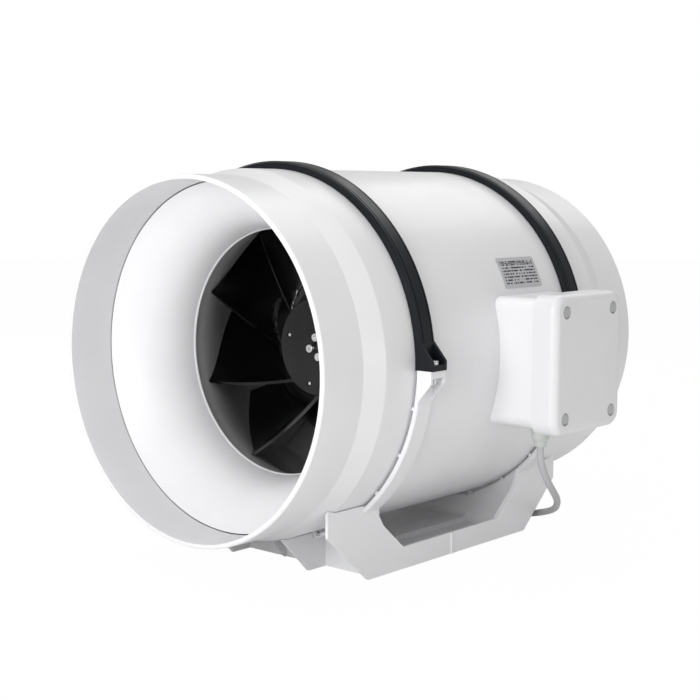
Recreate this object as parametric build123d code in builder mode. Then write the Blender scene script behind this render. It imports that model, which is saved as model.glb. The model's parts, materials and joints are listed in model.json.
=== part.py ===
"""Inline mixed-flow duct fan for a 315 mm round duct, as an assembly of separate pieces.

Frame: +X is the direction of the air, +Z is up, the terminal box is on the -Y side.
The origin is the centre of the four mounting holes, on the surface the base stands on.
All lengths are millimetres.
"""
import os
from math import cos, hypot, pi, radians, sin, sqrt, tan

from build123d import *

os.makedirs("parts", exist_ok=True)

# ---------------------------------------------------------------- driving dimensions
AXIS_HEIGHT = 190.0        # fan axis above the mounting surface
HALF_LENGTH = 230.0        # half of the overall length
SPIGOT_R = 158.0           # outside of the duct collars
SPIGOT_WALL = 4.2
SPIGOT_LENGTH = 46.5       # straight part that the duct slides over
CONE_LENGTH = 22.0         # from the collar up to the body diameter
BODY_R = 163.5             # outside of the casing between the collars
BODY_WALL = 3.0
LIP_CHAMFER = 1.2

CLAMP_X = 115.4            # each clamp ring's middle, either side of the origin
CLAMP_WIDTH = 19.5
FLANGE_R = 167.0           # mating flanges held by the clamp rings
FLANGE_THICK = 3.6
GASKET_THICK = 1.2
STRAP_R = 170.5            # outside of the dark upper clamp straps
CRADLE_R = 169.5           # outside of the pale lower half rings
SPLIT_DROP = 2.0           # the clamp's split plane lies this far below the axis
EAR_REACH = 181.5          # how far the clamp ears reach sideways
EAR_SCREW_Y = 175.2
RUN_GAP = 0.3              # air between faces that only pass close by

SHROUD_EYE_R = 113.9       # inside of the impeller shroud at its front
SHROUD_END_R = 157.5
SHROUD_WALL = 2.2
SHROUD_END_X = -6.0
EYE_R = 111.5              # throat of the bell mouth
TIP_GAP = 1.8              # blade tip to shroud

BLADES = 8
LEAD_ANGLE_TIP = 154.0     # angle of the first blade's leading tip, round the axis
TIP_WRAP = 41.0            # turn of the tip from leading to trailing edge
LEAD_ANGLE_HUB = 184.0
HUB_WRAP = 72.0
BLADE_TIP_X = (-105.0, -13.0)    # leading and trailing edge at the shroud
BLADE_HUB_X = (-66.0, -15.0)     # leading and trailing edge at the hub
HUB_NOSE_R = 46.0
HUB_END_R = 101.5
HUB_WALL = 3.0
BLADE_ROOT_THICK = 3.4
BLADE_TIP_THICK = 2.2
BLADE_BOW = 3.5            # how far a blade's middle bows forward

VANES = 11
VANE_TURN = 26.0           # the guide vanes turn the air by this angle
VANE_THICK = 2.4
STATOR_FRONT_R = 103.0
STATOR_REAR_R = 86.0
STATOR_REAR_X = 86.0
STATOR_WALL = 3.0
TAIL_END_X = 150.0

SHAFT_R = 6.0
BEARING_R = 16.0
BEARING_WIDTH = 10.0
MOTOR_R = 68.0
MOTOR_FRONT_X = -12.0
MOTOR_REAR_X = 90.0
MOTOR_WALL = 2.5
ROTOR_CORE_R = 33.4
AIR_GAP = 0.6

BASE_HALF_WIDTH = 108.5    # outside of the side panels
PANEL_THICK = 3.0
POST_TOP_X = 170.5         # side panel corners, half lengths
POST_FOOT_X = 118.5
POST_KNEE_Z = 45.8
NOTCH_FOOT_X = 70.5
NOTCH_FOOT_Z = 20.0
NOTCH_KNEE_X = 98.0
NOTCH_KNEE_Z = 44.0
NOTCH_TOP_X = 104.4
NOTCH_TOP_Z = 54.0
BAR_RIB = (2.0, 2.4)         # thin upright rib on the bar, width by depth
RIB_Y = 48.0
RIB_FOOT_X = 130.5
CENTRE_RIB_FOOT_X = 110.5
CENTRE_RIB_END_X = 132.5
CENTRE_RIB_KNEE_Z = 24.0
CENTRE_RIB_TOP_Z = 34.0
WEB_X = 107.2              # middle of the cross webs, just under the rings' inner lips
WEB_FOOT = 7.0             # rounding between a web and the floor
PLATFORM_Z = 8.0           # top of the raised channel that is screwed down
PLATFORM_THICK = 4.0
FLOOR_THICK = 3.0
MOUNT_HOLE_X = 87.0
MOUNT_HOLE_Y = 18.0
MOUNT_HOLE_R = 4.0
SINK_R = 6.6               # countersink round each mounting hole
SINK_DEPTH = 2.2
BOSS_R = 9.0
MERGE = 1.0                # how far touching parts of one moulding run into each other

BOX_X = 44.5               # terminal box centre
BOX_Z = AXIS_HEIGHT - 6.0
BOX_SIZE = (99.0, 115.0)
LID_SIZE = (109.0, 123.0)
BOX_CORNER = 11.0
BOX_WALL = 3.0
SEAM_Y = -200.0            # where the lid meets the box
LID_GASKET = 0.8
LID_FACE_Y = -225.0
LID_EDGE_R = 7.0
BOX_SCREW_X = 38.0         # lid screws from the box centre
BOX_SCREW_Z = 46.5
CAP_R = 5.75

GLAND_X = 28.0
GLAND_Y = -186.0
CORD_R = 3.25
CORD_LENGTH = 1500.0       # free length from gland to plug

# ---------------------------------------------------------------- axes, planes, helpers
FAN_AXIS = Axis((0, 0, AXIS_HEIGHT), (1, 0, 0))
PROFILE = Plane(origin=(0, 0, AXIS_HEIGHT), x_dir=(1, 0, 0), z_dir=(0, -1, 0))  # x, radius
SPLIT_Z = AXIS_HEIGHT - SPLIT_DROP
BODY_IN = BODY_R - BODY_WALL
SPIGOT_IN = SPIGOT_R - SPIGOT_WALL
COLLAR_END = HALF_LENGTH - SPIGOT_LENGTH
CONE_END = COLLAR_END - CONE_LENGTH
STACK_HALF = FLANGE_THICK + GASKET_THICK / 2     # half of the two flanges and the gasket
UNDER_GAP = 0.8                                  # air between the body and the base below it
CLEAR_R = BODY_R + UNDER_GAP
pieces = {}


def across(x):
    """Plane square to the fan axis: local x is +Y, local y is +Z."""
    return Plane(origin=(x, 0, AXIS_HEIGHT), x_dir=(0, 1, 0), z_dir=(1, 0, 0))


def side_plane(y):
    """Plane seen from the -Y side: local x is +X, local y is +Z."""
    return Plane(origin=(0, y, 0), x_dir=(1, 0, 0), z_dir=(0, -1, 0))


def along_axis(radius, x_from, x_to, mode):
    """A cylinder on the fan axis, used to add or cut round forms."""
    with Locations(Location(((x_from + x_to) / 2, 0, AXIS_HEIGHT), (0, 90, 0))):
        Cylinder(radius, abs(x_to - x_from), mode=mode)


def polar(x, radius, angle):
    """Point at a radius and an angle round the fan axis; 0 is the -Y side, 90 is up."""
    a = radians(angle)
    return Vector(x, -radius * cos(a), AXIS_HEIGHT + radius * sin(a))


def blend(ends, t):
    return ends[0] + (ends[1] - ends[0]) * t


def spun(*outline):
    """Close an outline of (x, radius) points and turn it round the fan axis."""
    with BuildSketch(PROFILE) as section:
        with BuildLine():
            Polyline(*outline, close=True)
        make_face()
    revolve(section.sketch, axis=FAN_AXIS)


# ---------------------------------------------------------------- duct collars
def duct_collar(side):
    """Collar, cone and clamp flange of one end; side is -1 for the inlet, 1 for the outlet."""
    flange_face = CLAMP_X + GASKET_THICK / 2
    outline = [
        (HALF_LENGTH, SPIGOT_IN),
        (HALF_LENGTH, SPIGOT_R - LIP_CHAMFER),
        (HALF_LENGTH - LIP_CHAMFER, SPIGOT_R),
        (COLLAR_END, SPIGOT_R),
        (CONE_END, BODY_R),
        (flange_face + FLANGE_THICK, BODY_R),
        (flange_face + FLANGE_THICK, FLANGE_R),
        (flange_face, FLANGE_R),
        (flange_face, BODY_IN),
        (CONE_END + 1, BODY_IN),
        (COLLAR_END + 1, SPIGOT_IN),
    ]
    with BuildPart() as collar:
        spun(*[(side * x, r) for x, r in outline])
    return collar


pieces["inlet_collar"] = duct_collar(-1)
pieces["outlet_collar"] = duct_collar(1)

# Bell mouth: one smooth shell from the collar's end down to the throat.
BELL_START_X = -COLLAR_END - 0.5
BELL_END_X = -CLAMP_X + GASKET_THICK / 2
BELL_WALL = 2.2
with BuildPart() as inlet_bellmouth:
    with BuildSketch(PROFILE):
        with BuildLine():
            rim = SPIGOT_IN - 0.1
            inner = Spline((BELL_START_X, rim - 0.6), (BELL_END_X, EYE_R),
                           tangents=((1, -1.15), (1, 0)))
            outer = Spline((BELL_START_X + 3.0, rim), (BELL_END_X, EYE_R + BELL_WALL),
                           tangents=((1, -1.15), (1, 0)))
            Polyline(inner @ 0, (BELL_START_X, rim), outer @ 0)
            Line(inner @ 1, outer @ 1)
        make_face()
    revolve(axis=FAN_AXIS)
pieces["inlet_bellmouth"] = inlet_bellmouth

# ---------------------------------------------------------------- centre casing
LEAD_X = 50.0              # the motor lead leaves the motor here, square to the axis
LEAD_R = 3.6
SLEEVE_R = 6.4
BOX_FIXING_X = 34.0        # screws that hold the box to the casing, from the box centre
FIXING_R = 2.0
GROMMET_R = 6.0
with BuildPart() as fan_casing:
    casing_end = CLAMP_X - GASKET_THICK / 2
    flange_in = casing_end - FLANGE_THICK
    spun((-casing_end, BODY_IN), (-casing_end, FLANGE_R), (-flange_in, FLANGE_R),
         (-flange_in, BODY_R), (flange_in, BODY_R), (flange_in, FLANGE_R),
         (casing_end, FLANGE_R), (casing_end, BODY_IN))
    with BuildSketch(side_plane(-BODY_R - 5)):
        with Locations((LEAD_X, AXIS_HEIGHT)):
            Circle(GROMMET_R)
        with Locations((BOX_X - BOX_FIXING_X, AXIS_HEIGHT), (BOX_X + BOX_FIXING_X, AXIS_HEIGHT)):
            Circle(FIXING_R + 0.05)
    extrude(amount=-20, mode=Mode.SUBTRACT)
pieces["fan_casing"] = fan_casing

for name, side in (("inlet_gasket", -1), ("outlet_gasket", 1)):
    with BuildPart() as gasket:
        x_in = side * (CLAMP_X - GASKET_THICK / 2)
        x_out = side * (CLAMP_X + GASKET_THICK / 2)
        spun((x_in, BODY_IN + 0.5), (x_out, BODY_IN + 0.5), (x_out, FLANGE_R - 1), (x_in, FLANGE_R - 1))
    pieces[name] = gasket

# ---------------------------------------------------------------- impeller shroud
SHROUD_START_X = -CLAMP_X + GASKET_THICK / 2
SHROUD_WEB = 2.4
SHROUD_CURVE = (
    (SHROUD_START_X + SHROUD_WEB, SHROUD_EYE_R),
    (-104.0, 114.8),
    (-65.0, 131.5),
    (-22.0, 152.6),
    (SHROUD_END_X, SHROUD_END_R),
)


def shroud_line(offset):
    """The shroud's inside line, moved outwards by an offset."""
    return Spline(*[(x, r + offset) for x, r in SHROUD_CURVE])


with BuildPart() as impeller_shroud:
    with BuildSketch(PROFILE):
        with BuildLine():
            inside = shroud_line(0)
            outside = shroud_line(SHROUD_WALL)
            Line(inside @ 1, outside @ 1)
            Polyline(inside @ 0, (SHROUD_START_X, SHROUD_EYE_R - 1.2),
                     (SHROUD_START_X, BODY_IN - 0.1),
                     (SHROUD_START_X + SHROUD_WEB, BODY_IN - 0.1), outside @ 0)
        make_face()
    revolve(axis=FAN_AXIS)
pieces["impeller_shroud"] = impeller_shroud


# ---------------------------------------------------------------- impeller
def hub_point(t):
    """Point (x, radius) on the hub, from the leading to the trailing edge."""
    return blend(BLADE_HUB_X, t), HUB_NOSE_R + (HUB_END_R - HUB_NOSE_R) * t ** 0.62


def tip_radius(x):
    """Radius of the shroud's inside at x, by straight steps between its points."""
    for (x0, r0), (x1, r1) in zip(SHROUD_CURVE, SHROUD_CURVE[1:]):
        if x <= x1:
            return r0 + (r1 - r0) * (x - x0) / (x1 - x0)
    return SHROUD_CURVE[-1][1]


def blade_section(t):
    """Ends and middle of the blade's mean line at a share t of its chord."""
    root_x, root_r = hub_point(t)
    tip_x = blend(BLADE_TIP_X, t)
    root = polar(root_x + 1.0, root_r - 2.2, LEAD_ANGLE_HUB - HUB_WRAP * t ** 0.6)
    tip = polar(tip_x, tip_radius(tip_x) + 1.5, LEAD_ANGLE_TIP - TIP_WRAP * t)
    return root, tip


STATIONS = 7
HUB_FRONT_X = BLADE_HUB_X[0] - 1.0
HUB_REAR_X = BLADE_HUB_X[1] + 3.5
HUB_SEAT_X = HUB_FRONT_X + 6.0     # back of the hub's face, where the bush bears
HUB_BORE_R = 5.0                   # opening in front of the shaft's end
BOSS_WALL = 5.0
BUSH_R = 14.0
BUSH_REAR_X = -38.0
BOSS_REAR_X = -44.0
HUB_SCREWS = 4
HUB_SCREW_CIRCLE = 9.2
HUB_SCREW_ANGLE = -12.0
HUB_SCREW_R = 2.0
HUB_SCREW_LENGTH = 14.0
HUB_HEAD_R = 4.0
HUB_HEAD_HEIGHT = 3.0
HUB_SOCKET_R = 1.9
HUB_SOCKET_DEPTH = 1.8
COUNTERBORE = 2.4
BALANCE_SCREWS = 4
BALANCE_CIRCLE = 36.0
BALANCE_ANGLE = 15.0
BALANCE_R = 1.0
BALANCE_HEAD_R = 1.5
BALANCE_RECESS = 1.4
BALANCE_LENGTH = 2.4
hub_stations = [hub_point(k / 8) for k in range(9)]

with BuildPart(mode=Mode.PRIVATE) as blade:
    for k in range(STATIONS):
        t = k / (STATIONS - 1)
        root, tip = blade_section(t)
        before = blade_section(max(t - 0.02, 0))
        after = blade_section(min(t + 0.02, 1))
        travel = (after[0] + after[1] - before[0] - before[1]) / 2
        span = (tip - root).length
        normal = (tip - root).cross(travel).normalized()
        station = Plane(origin=root, x_dir=tip - root, z_dir=(tip - root).cross(normal))
        with BuildSketch(station):
            with BuildLine():
                a, b = BLADE_ROOT_THICK / 2, BLADE_TIP_THICK / 2
                low = ThreePointArc((0, -a), (span / 2, BLADE_BOW - (a + b) / 2), (span, -b))
                high = ThreePointArc((0, a), (span / 2, BLADE_BOW + (a + b) / 2), (span, b))
                Line(low @ 0, high @ 0)
                Line(low @ 1, high @ 1)
            make_face()
    loft()

with BuildPart(mode=Mode.PRIVATE) as blade_space:
    with BuildSketch(PROFILE):
        with BuildLine():
            edge = shroud_line(-TIP_GAP)
            Polyline(edge @ 1, (SHROUD_END_X, 10), (SHROUD_CURVE[0][0], 10), edge @ 0)
        make_face()
    revolve(axis=FAN_AXIS)

with BuildPart() as impeller:
    for k in range(BLADES):
        add(blade.part.rotate(FAN_AXIS, 360 / BLADES * k))
    add(blade_space.part, mode=Mode.INTERSECT)
    with BuildSketch(PROFILE):
        with BuildLine():
            face = Spline(*hub_stations)
            back = Spline(*[(x + 1.6, r - HUB_WALL + 0.4) for x, r in hub_stations])
            Polyline(face @ 0, (HUB_FRONT_X, HUB_NOSE_R - 1.0), (HUB_FRONT_X, HUB_BORE_R),
                     (HUB_SEAT_X, HUB_BORE_R), (HUB_SEAT_X, BUSH_R + 0.02), (BOSS_REAR_X, BUSH_R + 0.02),
                     (BOSS_REAR_X, BUSH_R + BOSS_WALL), (HUB_FRONT_X + 4, BUSH_R + BOSS_WALL + 2), back @ 0)
            Polyline(face @ 1, (HUB_REAR_X, HUB_END_R + 1.0), (HUB_REAR_X, HUB_END_R - 2.0), back @ 1)
        make_face()
    revolve(axis=FAN_AXIS)
    # counterbores for the four hub screws, and recesses for the balance screws
    for circle, count, angle, radius, depth in (
            (HUB_SCREW_CIRCLE, HUB_SCREWS, HUB_SCREW_ANGLE, HUB_HEAD_R + 0.5, COUNTERBORE),
            (HUB_SCREW_CIRCLE, HUB_SCREWS, HUB_SCREW_ANGLE, HUB_SCREW_R + 0.02, HUB_SEAT_X - HUB_FRONT_X),
            (BALANCE_CIRCLE, BALANCE_SCREWS, BALANCE_ANGLE, BALANCE_HEAD_R + 1.0, BALANCE_RECESS),
            (BALANCE_CIRCLE, BALANCE_SCREWS, BALANCE_ANGLE, BALANCE_R + 0.02, HUB_SEAT_X - HUB_FRONT_X)):
        with BuildSketch(across(HUB_FRONT_X)):
            with PolarLocations(circle, count, start_angle=angle):
                Circle(radius)
        extrude(amount=depth, mode=Mode.SUBTRACT)
pieces["impeller"] = impeller

# Metal bush pressed on the shaft; four screws pull it against the back of the hub's face.
with BuildPart() as impeller_bush:
    spun((HUB_SEAT_X, SHAFT_R + 0.02), (HUB_SEAT_X, BUSH_R), (BUSH_REAR_X, BUSH_R),
         (BUSH_REAR_X, SHAFT_R + 0.02))
    with BuildSketch(across(HUB_SEAT_X)):
        with PolarLocations(HUB_SCREW_CIRCLE, HUB_SCREWS, start_angle=HUB_SCREW_ANGLE):
            Circle(HUB_SCREW_R + 0.02)
    extrude(amount=HUB_SCREW_LENGTH, mode=Mode.SUBTRACT)
pieces["impeller_bush"] = impeller_bush

with BuildPart() as hub_screws:
    head_seat_x = HUB_FRONT_X + COUNTERBORE
    with BuildSketch(across(head_seat_x)):
        with PolarLocations(HUB_SCREW_CIRCLE, HUB_SCREWS, start_angle=HUB_SCREW_ANGLE):
            Circle(HUB_SCREW_R)
    extrude(amount=HUB_SCREW_LENGTH)
    with BuildSketch(across(head_seat_x)):
        with PolarLocations(HUB_SCREW_CIRCLE, HUB_SCREWS, start_angle=HUB_SCREW_ANGLE):
            Circle(HUB_HEAD_R)
    extrude(amount=-HUB_HEAD_HEIGHT)
    chamfer(hub_screws.edges().filter_by(GeomType.CIRCLE).group_by(Axis.X)[0], length=0.4)
    with BuildSketch(across(head_seat_x - HUB_HEAD_HEIGHT)):
        with PolarLocations(HUB_SCREW_CIRCLE, HUB_SCREWS, start_angle=HUB_SCREW_ANGLE):
            RegularPolygon(HUB_SOCKET_R, 6)
    extrude(amount=HUB_SOCKET_DEPTH, mode=Mode.SUBTRACT)
pieces["hub_screws"] = hub_screws

with BuildPart() as balance_screws:
    for radius, length in ((BALANCE_R, BALANCE_LENGTH), (BALANCE_HEAD_R, -BALANCE_RECESS / 2)):
        with BuildSketch(across(HUB_FRONT_X + BALANCE_RECESS)):
            with PolarLocations(BALANCE_CIRCLE, BALANCE_SCREWS, start_angle=BALANCE_ANGLE):
                Circle(radius)
        extrude(amount=length)
pieces["balance_screws"] = balance_screws

# ---------------------------------------------------------------- motor
SHAFT_FRONT_X = HUB_SEAT_X + 0.3
SHAFT_CENTRE_R = 1.5       # centre drilled in the shaft's end
BEARING_FRONT_X = MOTOR_FRONT_X + 1.5
BEARING_REAR_X = MOTOR_REAR_X - 1.5
with BuildPart() as motor_shaft:
    along_axis(SHAFT_R, SHAFT_FRONT_X, BEARING_REAR_X, Mode.ADD)
    chamfer(motor_shaft.edges().filter_by(GeomType.CIRCLE), length=0.6)
    along_axis(SHAFT_CENTRE_R, SHAFT_FRONT_X, SHAFT_FRONT_X + 2 * SHAFT_CENTRE_R, Mode.SUBTRACT)
pieces["motor_shaft"] = motor_shaft


def ball_bearing(x_from):
    """Shielded ball bearing: shallow grooves mark the shields on both faces."""
    with BuildPart() as bearing:
        x_to = x_from + BEARING_WIDTH
        spun((x_from, SHAFT_R + 0.03), (x_from, 8.5), (x_from + 0.5, 9.0), (x_from + 0.5, 13.4),
             (x_from, 13.9), (x_from, BEARING_R - 0.4), (x_from + 0.4, BEARING_R),
             (x_to - 0.4, BEARING_R), (x_to, BEARING_R - 0.4), (x_to, 13.9), (x_to - 0.5, 13.4),
             (x_to - 0.5, 9.0), (x_to, 8.5), (x_to, SHAFT_R + 0.03))
    return bearing


pieces["front_bearing"] = ball_bearing(BEARING_FRONT_X)
pieces["rear_bearing"] = ball_bearing(BEARING_REAR_X - BEARING_WIDTH)

MOTOR_FLANGE_R = 80.0
MOTOR_FLANGE_X = -4.0
BULKHEAD_THICK = 3.0
MOTOR_SCREW_CIRCLE = 75.0
MOTOR_SCREWS = 4
SCREW_R = 2.5
with BuildPart() as motor_front_shield:
    spun((MOTOR_FRONT_X, SHAFT_R + 1.5), (MOTOR_FRONT_X, BEARING_R + 3), (MOTOR_FLANGE_X, MOTOR_R - 10),
         (MOTOR_FLANGE_X, MOTOR_FLANGE_R), (0, MOTOR_FLANGE_R), (0, BEARING_R + 3),
         (BEARING_FRONT_X + BEARING_WIDTH, BEARING_R + 3),
         (BEARING_FRONT_X + BEARING_WIDTH, BEARING_R + 0.02),
         (BEARING_FRONT_X, BEARING_R + 0.02), (BEARING_FRONT_X, SHAFT_R + 1.5))
    with BuildSketch(across(MOTOR_FLANGE_X)):
        with PolarLocations(MOTOR_SCREW_CIRCLE, MOTOR_SCREWS, start_angle=45):
            Circle(SCREW_R + 0.1)
    extrude(amount=10, both=True, mode=Mode.SUBTRACT)
pieces["motor_front_shield"] = motor_front_shield

with BuildPart() as motor_shell:
    wall_in = MOTOR_R - MOTOR_WALL
    seat = BEARING_R + 0.02
    spun((0, wall_in), (0, MOTOR_R), (MOTOR_REAR_X - 6, MOTOR_R), (MOTOR_REAR_X, MOTOR_R - 8),
         (MOTOR_REAR_X, SHAFT_R + 1.5), (BEARING_REAR_X, SHAFT_R + 1.5), (BEARING_REAR_X, seat),
         (BEARING_REAR_X - BEARING_WIDTH, seat), (BEARING_REAR_X - BEARING_WIDTH, seat + 3),
         (MOTOR_REAR_X - MOTOR_WALL, seat + 3), (MOTOR_REAR_X - MOTOR_WALL, MOTOR_R - 9),
         (MOTOR_REAR_X - 7, wall_in))
    with BuildSketch(side_plane(-MOTOR_R - 5)):
        with Locations((LEAD_X, AXIS_HEIGHT)):
            Circle(LEAD_R + 0.1)
    extrude(amount=-12, mode=Mode.SUBTRACT)
pieces["motor_shell"] = motor_shell

CORE_X = (12.0, 66.0)
with BuildPart() as rotor_core:
    spun((CORE_X[0], SHAFT_R + 0.02), (CORE_X[0], ROTOR_CORE_R), (CORE_X[1], ROTOR_CORE_R),
         (CORE_X[1], SHAFT_R + 0.02))
pieces["rotor_core"] = rotor_core

with BuildPart() as stator_core:
    bore = ROTOR_CORE_R + AIR_GAP
    spun((CORE_X[0], bore), (CORE_X[0], MOTOR_R - MOTOR_WALL - 0.05),
         (CORE_X[1], MOTOR_R - MOTOR_WALL - 0.05), (CORE_X[1], bore))
pieces["stator_core"] = stator_core

with BuildPart() as stator_windings:
    for x_from, x_to in ((CORE_X[0] - 8, CORE_X[0]), (CORE_X[1], CORE_X[1] + 8)):
        spun((x_from, 40), (x_from, 58), (x_to, 60), (x_to, 38))
pieces["stator_windings"] = stator_windings

# ---------------------------------------------------------------- guide vanes and motor carrier
VANE_X = (2.0, 78.0)
GUIDE_END_X = 108.0


def hub_line_radius(x):
    share = (x - MOTOR_FRONT_X + 2) / (STATOR_REAR_X - MOTOR_FRONT_X + 2)
    return STATOR_FRONT_R + (STATOR_REAR_R - STATOR_FRONT_R) * share


with BuildPart(mode=Mode.PRIVATE) as vane:
    for k in range(5):
        t = k / 4
        x = blend(VANE_X, t)
        inner_r = hub_line_radius(x) - 1.5
        outer_r = SHROUD_END_R + 1.0
        with BuildSketch(across(x)):
            turn = 180 - 360 / VANES / 2 - 8 + VANE_TURN * (1 - t) ** 2
            with Locations(Location((0, 0, 0), (0, 0, turn))):
                with Locations(((inner_r + outer_r) / 2, 0)):
                    Rectangle(outer_r - inner_r, VANE_THICK)
    loft()

with BuildPart() as guide_vanes:
    for k in range(VANES):
        add(vane.part.rotate(FAN_AXIS, 360 / VANES * k))
    front = MOTOR_FRONT_X + 2
    spun((SHROUD_END_X, SHROUD_END_R), (SHROUD_END_X, BODY_IN - 0.1), (GUIDE_END_X, BODY_IN - 0.1),
         (GUIDE_END_X, SHROUD_END_R + 1.8), (GUIDE_END_X - 10, SHROUD_END_R))
    spun((front, STATOR_FRONT_R - STATOR_WALL), (front, STATOR_FRONT_R),
         (STATOR_REAR_X, STATOR_REAR_R), (STATOR_REAR_X, STATOR_REAR_R - STATOR_WALL))
    spun((0, MOTOR_R + 0.1), (0, STATOR_FRONT_R - 4), (BULKHEAD_THICK, STATOR_FRONT_R - 4),
         (BULKHEAD_THICK, MOTOR_R + 0.1))
    with BuildSketch(across(0)):
        with PolarLocations(MOTOR_SCREW_CIRCLE, MOTOR_SCREWS, start_angle=45):
            Circle(SCREW_R + 0.1)
    extrude(amount=10, mode=Mode.SUBTRACT)
    with BuildSketch(side_plane(-STATOR_REAR_R)):
        with Locations((LEAD_X, AXIS_HEIGHT)):
            Circle(SLEEVE_R)
    extrude(amount=SHROUD_END_R + 0.5 - STATOR_REAR_R)
    with BuildSketch(side_plane(-STATOR_REAR_R + 10)):
        with Locations((LEAD_X, AXIS_HEIGHT)):
            Circle(LEAD_R + 0.2)
    extrude(amount=90, mode=Mode.SUBTRACT)
pieces["guide_vanes"] = guide_vanes

with BuildPart() as motor_screws:
    for x_from, x_to, radius in ((MOTOR_FLANGE_X - 3, MOTOR_FLANGE_X, 4.4), (MOTOR_FLANGE_X, 8, SCREW_R)):
        with BuildSketch(across(x_from)):
            with PolarLocations(MOTOR_SCREW_CIRCLE, MOTOR_SCREWS, start_angle=45):
                Circle(radius)
        extrude(amount=x_to - x_from)
pieces["motor_screws"] = motor_screws

# Tail cone: closes the carrier behind the motor and lets the air rejoin smoothly.
TAIL_WALL = 2.4
with BuildPart() as tail_cone:
    with BuildSketch(PROFILE):
        with BuildLine():
            skin = Spline((STATOR_REAR_X, STATOR_REAR_R), (TAIL_END_X, 22),
                          tangents=((1, -0.2), (0.25, -1)))
            core = Spline((STATOR_REAR_X, STATOR_REAR_R - TAIL_WALL), (TAIL_END_X - TAIL_WALL, 20),
                          tangents=((1, -0.2), (0.25, -1)))
            Line(skin @ 0, core @ 0)
            Polyline(skin @ 1, (TAIL_END_X + 2, 0), (TAIL_END_X - TAIL_WALL + 2, 0), core @ 1)
        make_face()
    revolve(axis=FAN_AXIS)
pieces["tail_cone"] = tail_cone

# ---------------------------------------------------------------- clamp straps
LIP_HALF = STACK_HALF + 0.4
SCREW_FLOOR = 5.0          # the ear's floor, which the screw head bears on
EAR_TOP = 23.0
POCKET_WIDTH = CLAMP_WIDTH - 5.0


def ring_outline(x, outer_r, lip_r, edge):
    """Channel section of a clamp ring round the two flanges."""
    half = CLAMP_WIDTH / 2
    return [
        (x - half, lip_r), (x - half, outer_r - edge), (x - half + edge, outer_r),
        (x + half - edge, outer_r), (x + half, outer_r - edge), (x + half, lip_r),
        (x + LIP_HALF, lip_r), (x + LIP_HALF, FLANGE_R + 0.3),
        (x - LIP_HALF, FLANGE_R + 0.3), (x - LIP_HALF, lip_r),
    ]


def clamp_strap(x):
    """Upper half of a clamp ring, with a screw ear at each end."""
    lip_r = BODY_R + 0.4
    groove = 0.7
    with BuildPart() as strap:
        spun(*ring_outline(x, STRAP_R, lip_r, 1.5))
        for edge_x in (x - CLAMP_WIDTH / 2 + 3.6, x + CLAMP_WIDTH / 2 - 3.6):
            with BuildSketch(PROFILE):
                with Locations((edge_x, STRAP_R)):
                    Rectangle(groove * 1.4, groove * 2)
            revolve(axis=FAN_AXIS, mode=Mode.SUBTRACT)
        split(bisect_by=Plane.XY.offset(SPLIT_Z), keep=Keep.TOP)
        with BuildSketch(Plane.YZ.offset(x - CLAMP_WIDTH / 2)):
            with BuildLine():
                Polyline((-BODY_R, SPLIT_Z), (-EAR_REACH, SPLIT_Z), (-EAR_REACH, SPLIT_Z + 8),
                         (-STRAP_R + 2, SPLIT_Z + EAR_TOP), (-BODY_R, SPLIT_Z + EAR_TOP), close=True)
            make_face()
            mirror(about=Plane.YZ)
        extrude(amount=CLAMP_WIDTH)
        along_axis(lip_r, x - CLAMP_WIDTH, x + CLAMP_WIDTH, Mode.SUBTRACT)
        along_axis(FLANGE_R + 0.3, x - LIP_HALF, x + LIP_HALF, Mode.SUBTRACT)
        with Locations((x, 0, 0)):
            for y in (-1, 1):
                with Locations((0, y * (STRAP_R - 1 + 10), SPLIT_Z + SCREW_FLOOR + 20)):
                    Box(POCKET_WIDTH, 20, 40, mode=Mode.SUBTRACT)
                with Locations((0, y * EAR_SCREW_Y, SPLIT_Z)):
                    Cylinder(SCREW_R + 0.25, 40, mode=Mode.SUBTRACT)
    return strap


pieces["front_clamp_strap"] = clamp_strap(-CLAMP_X)
pieces["rear_clamp_strap"] = clamp_strap(CLAMP_X)

NUT_SEAT = 6.0             # thickness of the cradle ear above its nut
NUT_THICK = 4.0
SCREW_HEAD_R = 4.4
SCREW_HEAD_HEIGHT = 3.2
RECESS = (1.1, 5.6)        # cross recess in the screw heads: slot width and length
SCREW_SPOTS = [(x, y) for x in (-CLAMP_X, CLAMP_X) for y in (-EAR_SCREW_Y, EAR_SCREW_Y)]
with BuildPart() as clamp_screws:
    head_plane = Plane.XY.offset(SPLIT_Z + SCREW_FLOOR)
    with BuildSketch(head_plane):
        with Locations(*SCREW_SPOTS):
            Circle(SCREW_HEAD_R)
    extrude(amount=SCREW_HEAD_HEIGHT)
    fillet(clamp_screws.faces().filter_by(Axis.Z).sort_by(Axis.Z)[-4:].edges(), radius=1.2)
    with BuildSketch(head_plane.offset(SCREW_HEAD_HEIGHT)):
        with Locations(*SCREW_SPOTS):
            Rectangle(*RECESS)
            Rectangle(*reversed(RECESS))
    extrude(amount=-1.4, mode=Mode.SUBTRACT)
    with BuildSketch(head_plane):
        with Locations(*SCREW_SPOTS):
            Circle(SCREW_R)
    extrude(amount=-SCREW_FLOOR - NUT_SEAT - NUT_THICK - 1.5)
pieces["clamp_screws"] = clamp_screws

with BuildPart() as clamp_nuts:
    with BuildSketch(Plane.XY.offset(SPLIT_Z - NUT_SEAT)):
        with Locations(*SCREW_SPOTS):
            RegularPolygon(4.6, 6)
            Circle(SCREW_R + 0.03, mode=Mode.SUBTRACT)
    extrude(amount=-NUT_THICK)
pieces["clamp_nuts"] = clamp_nuts

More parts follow.
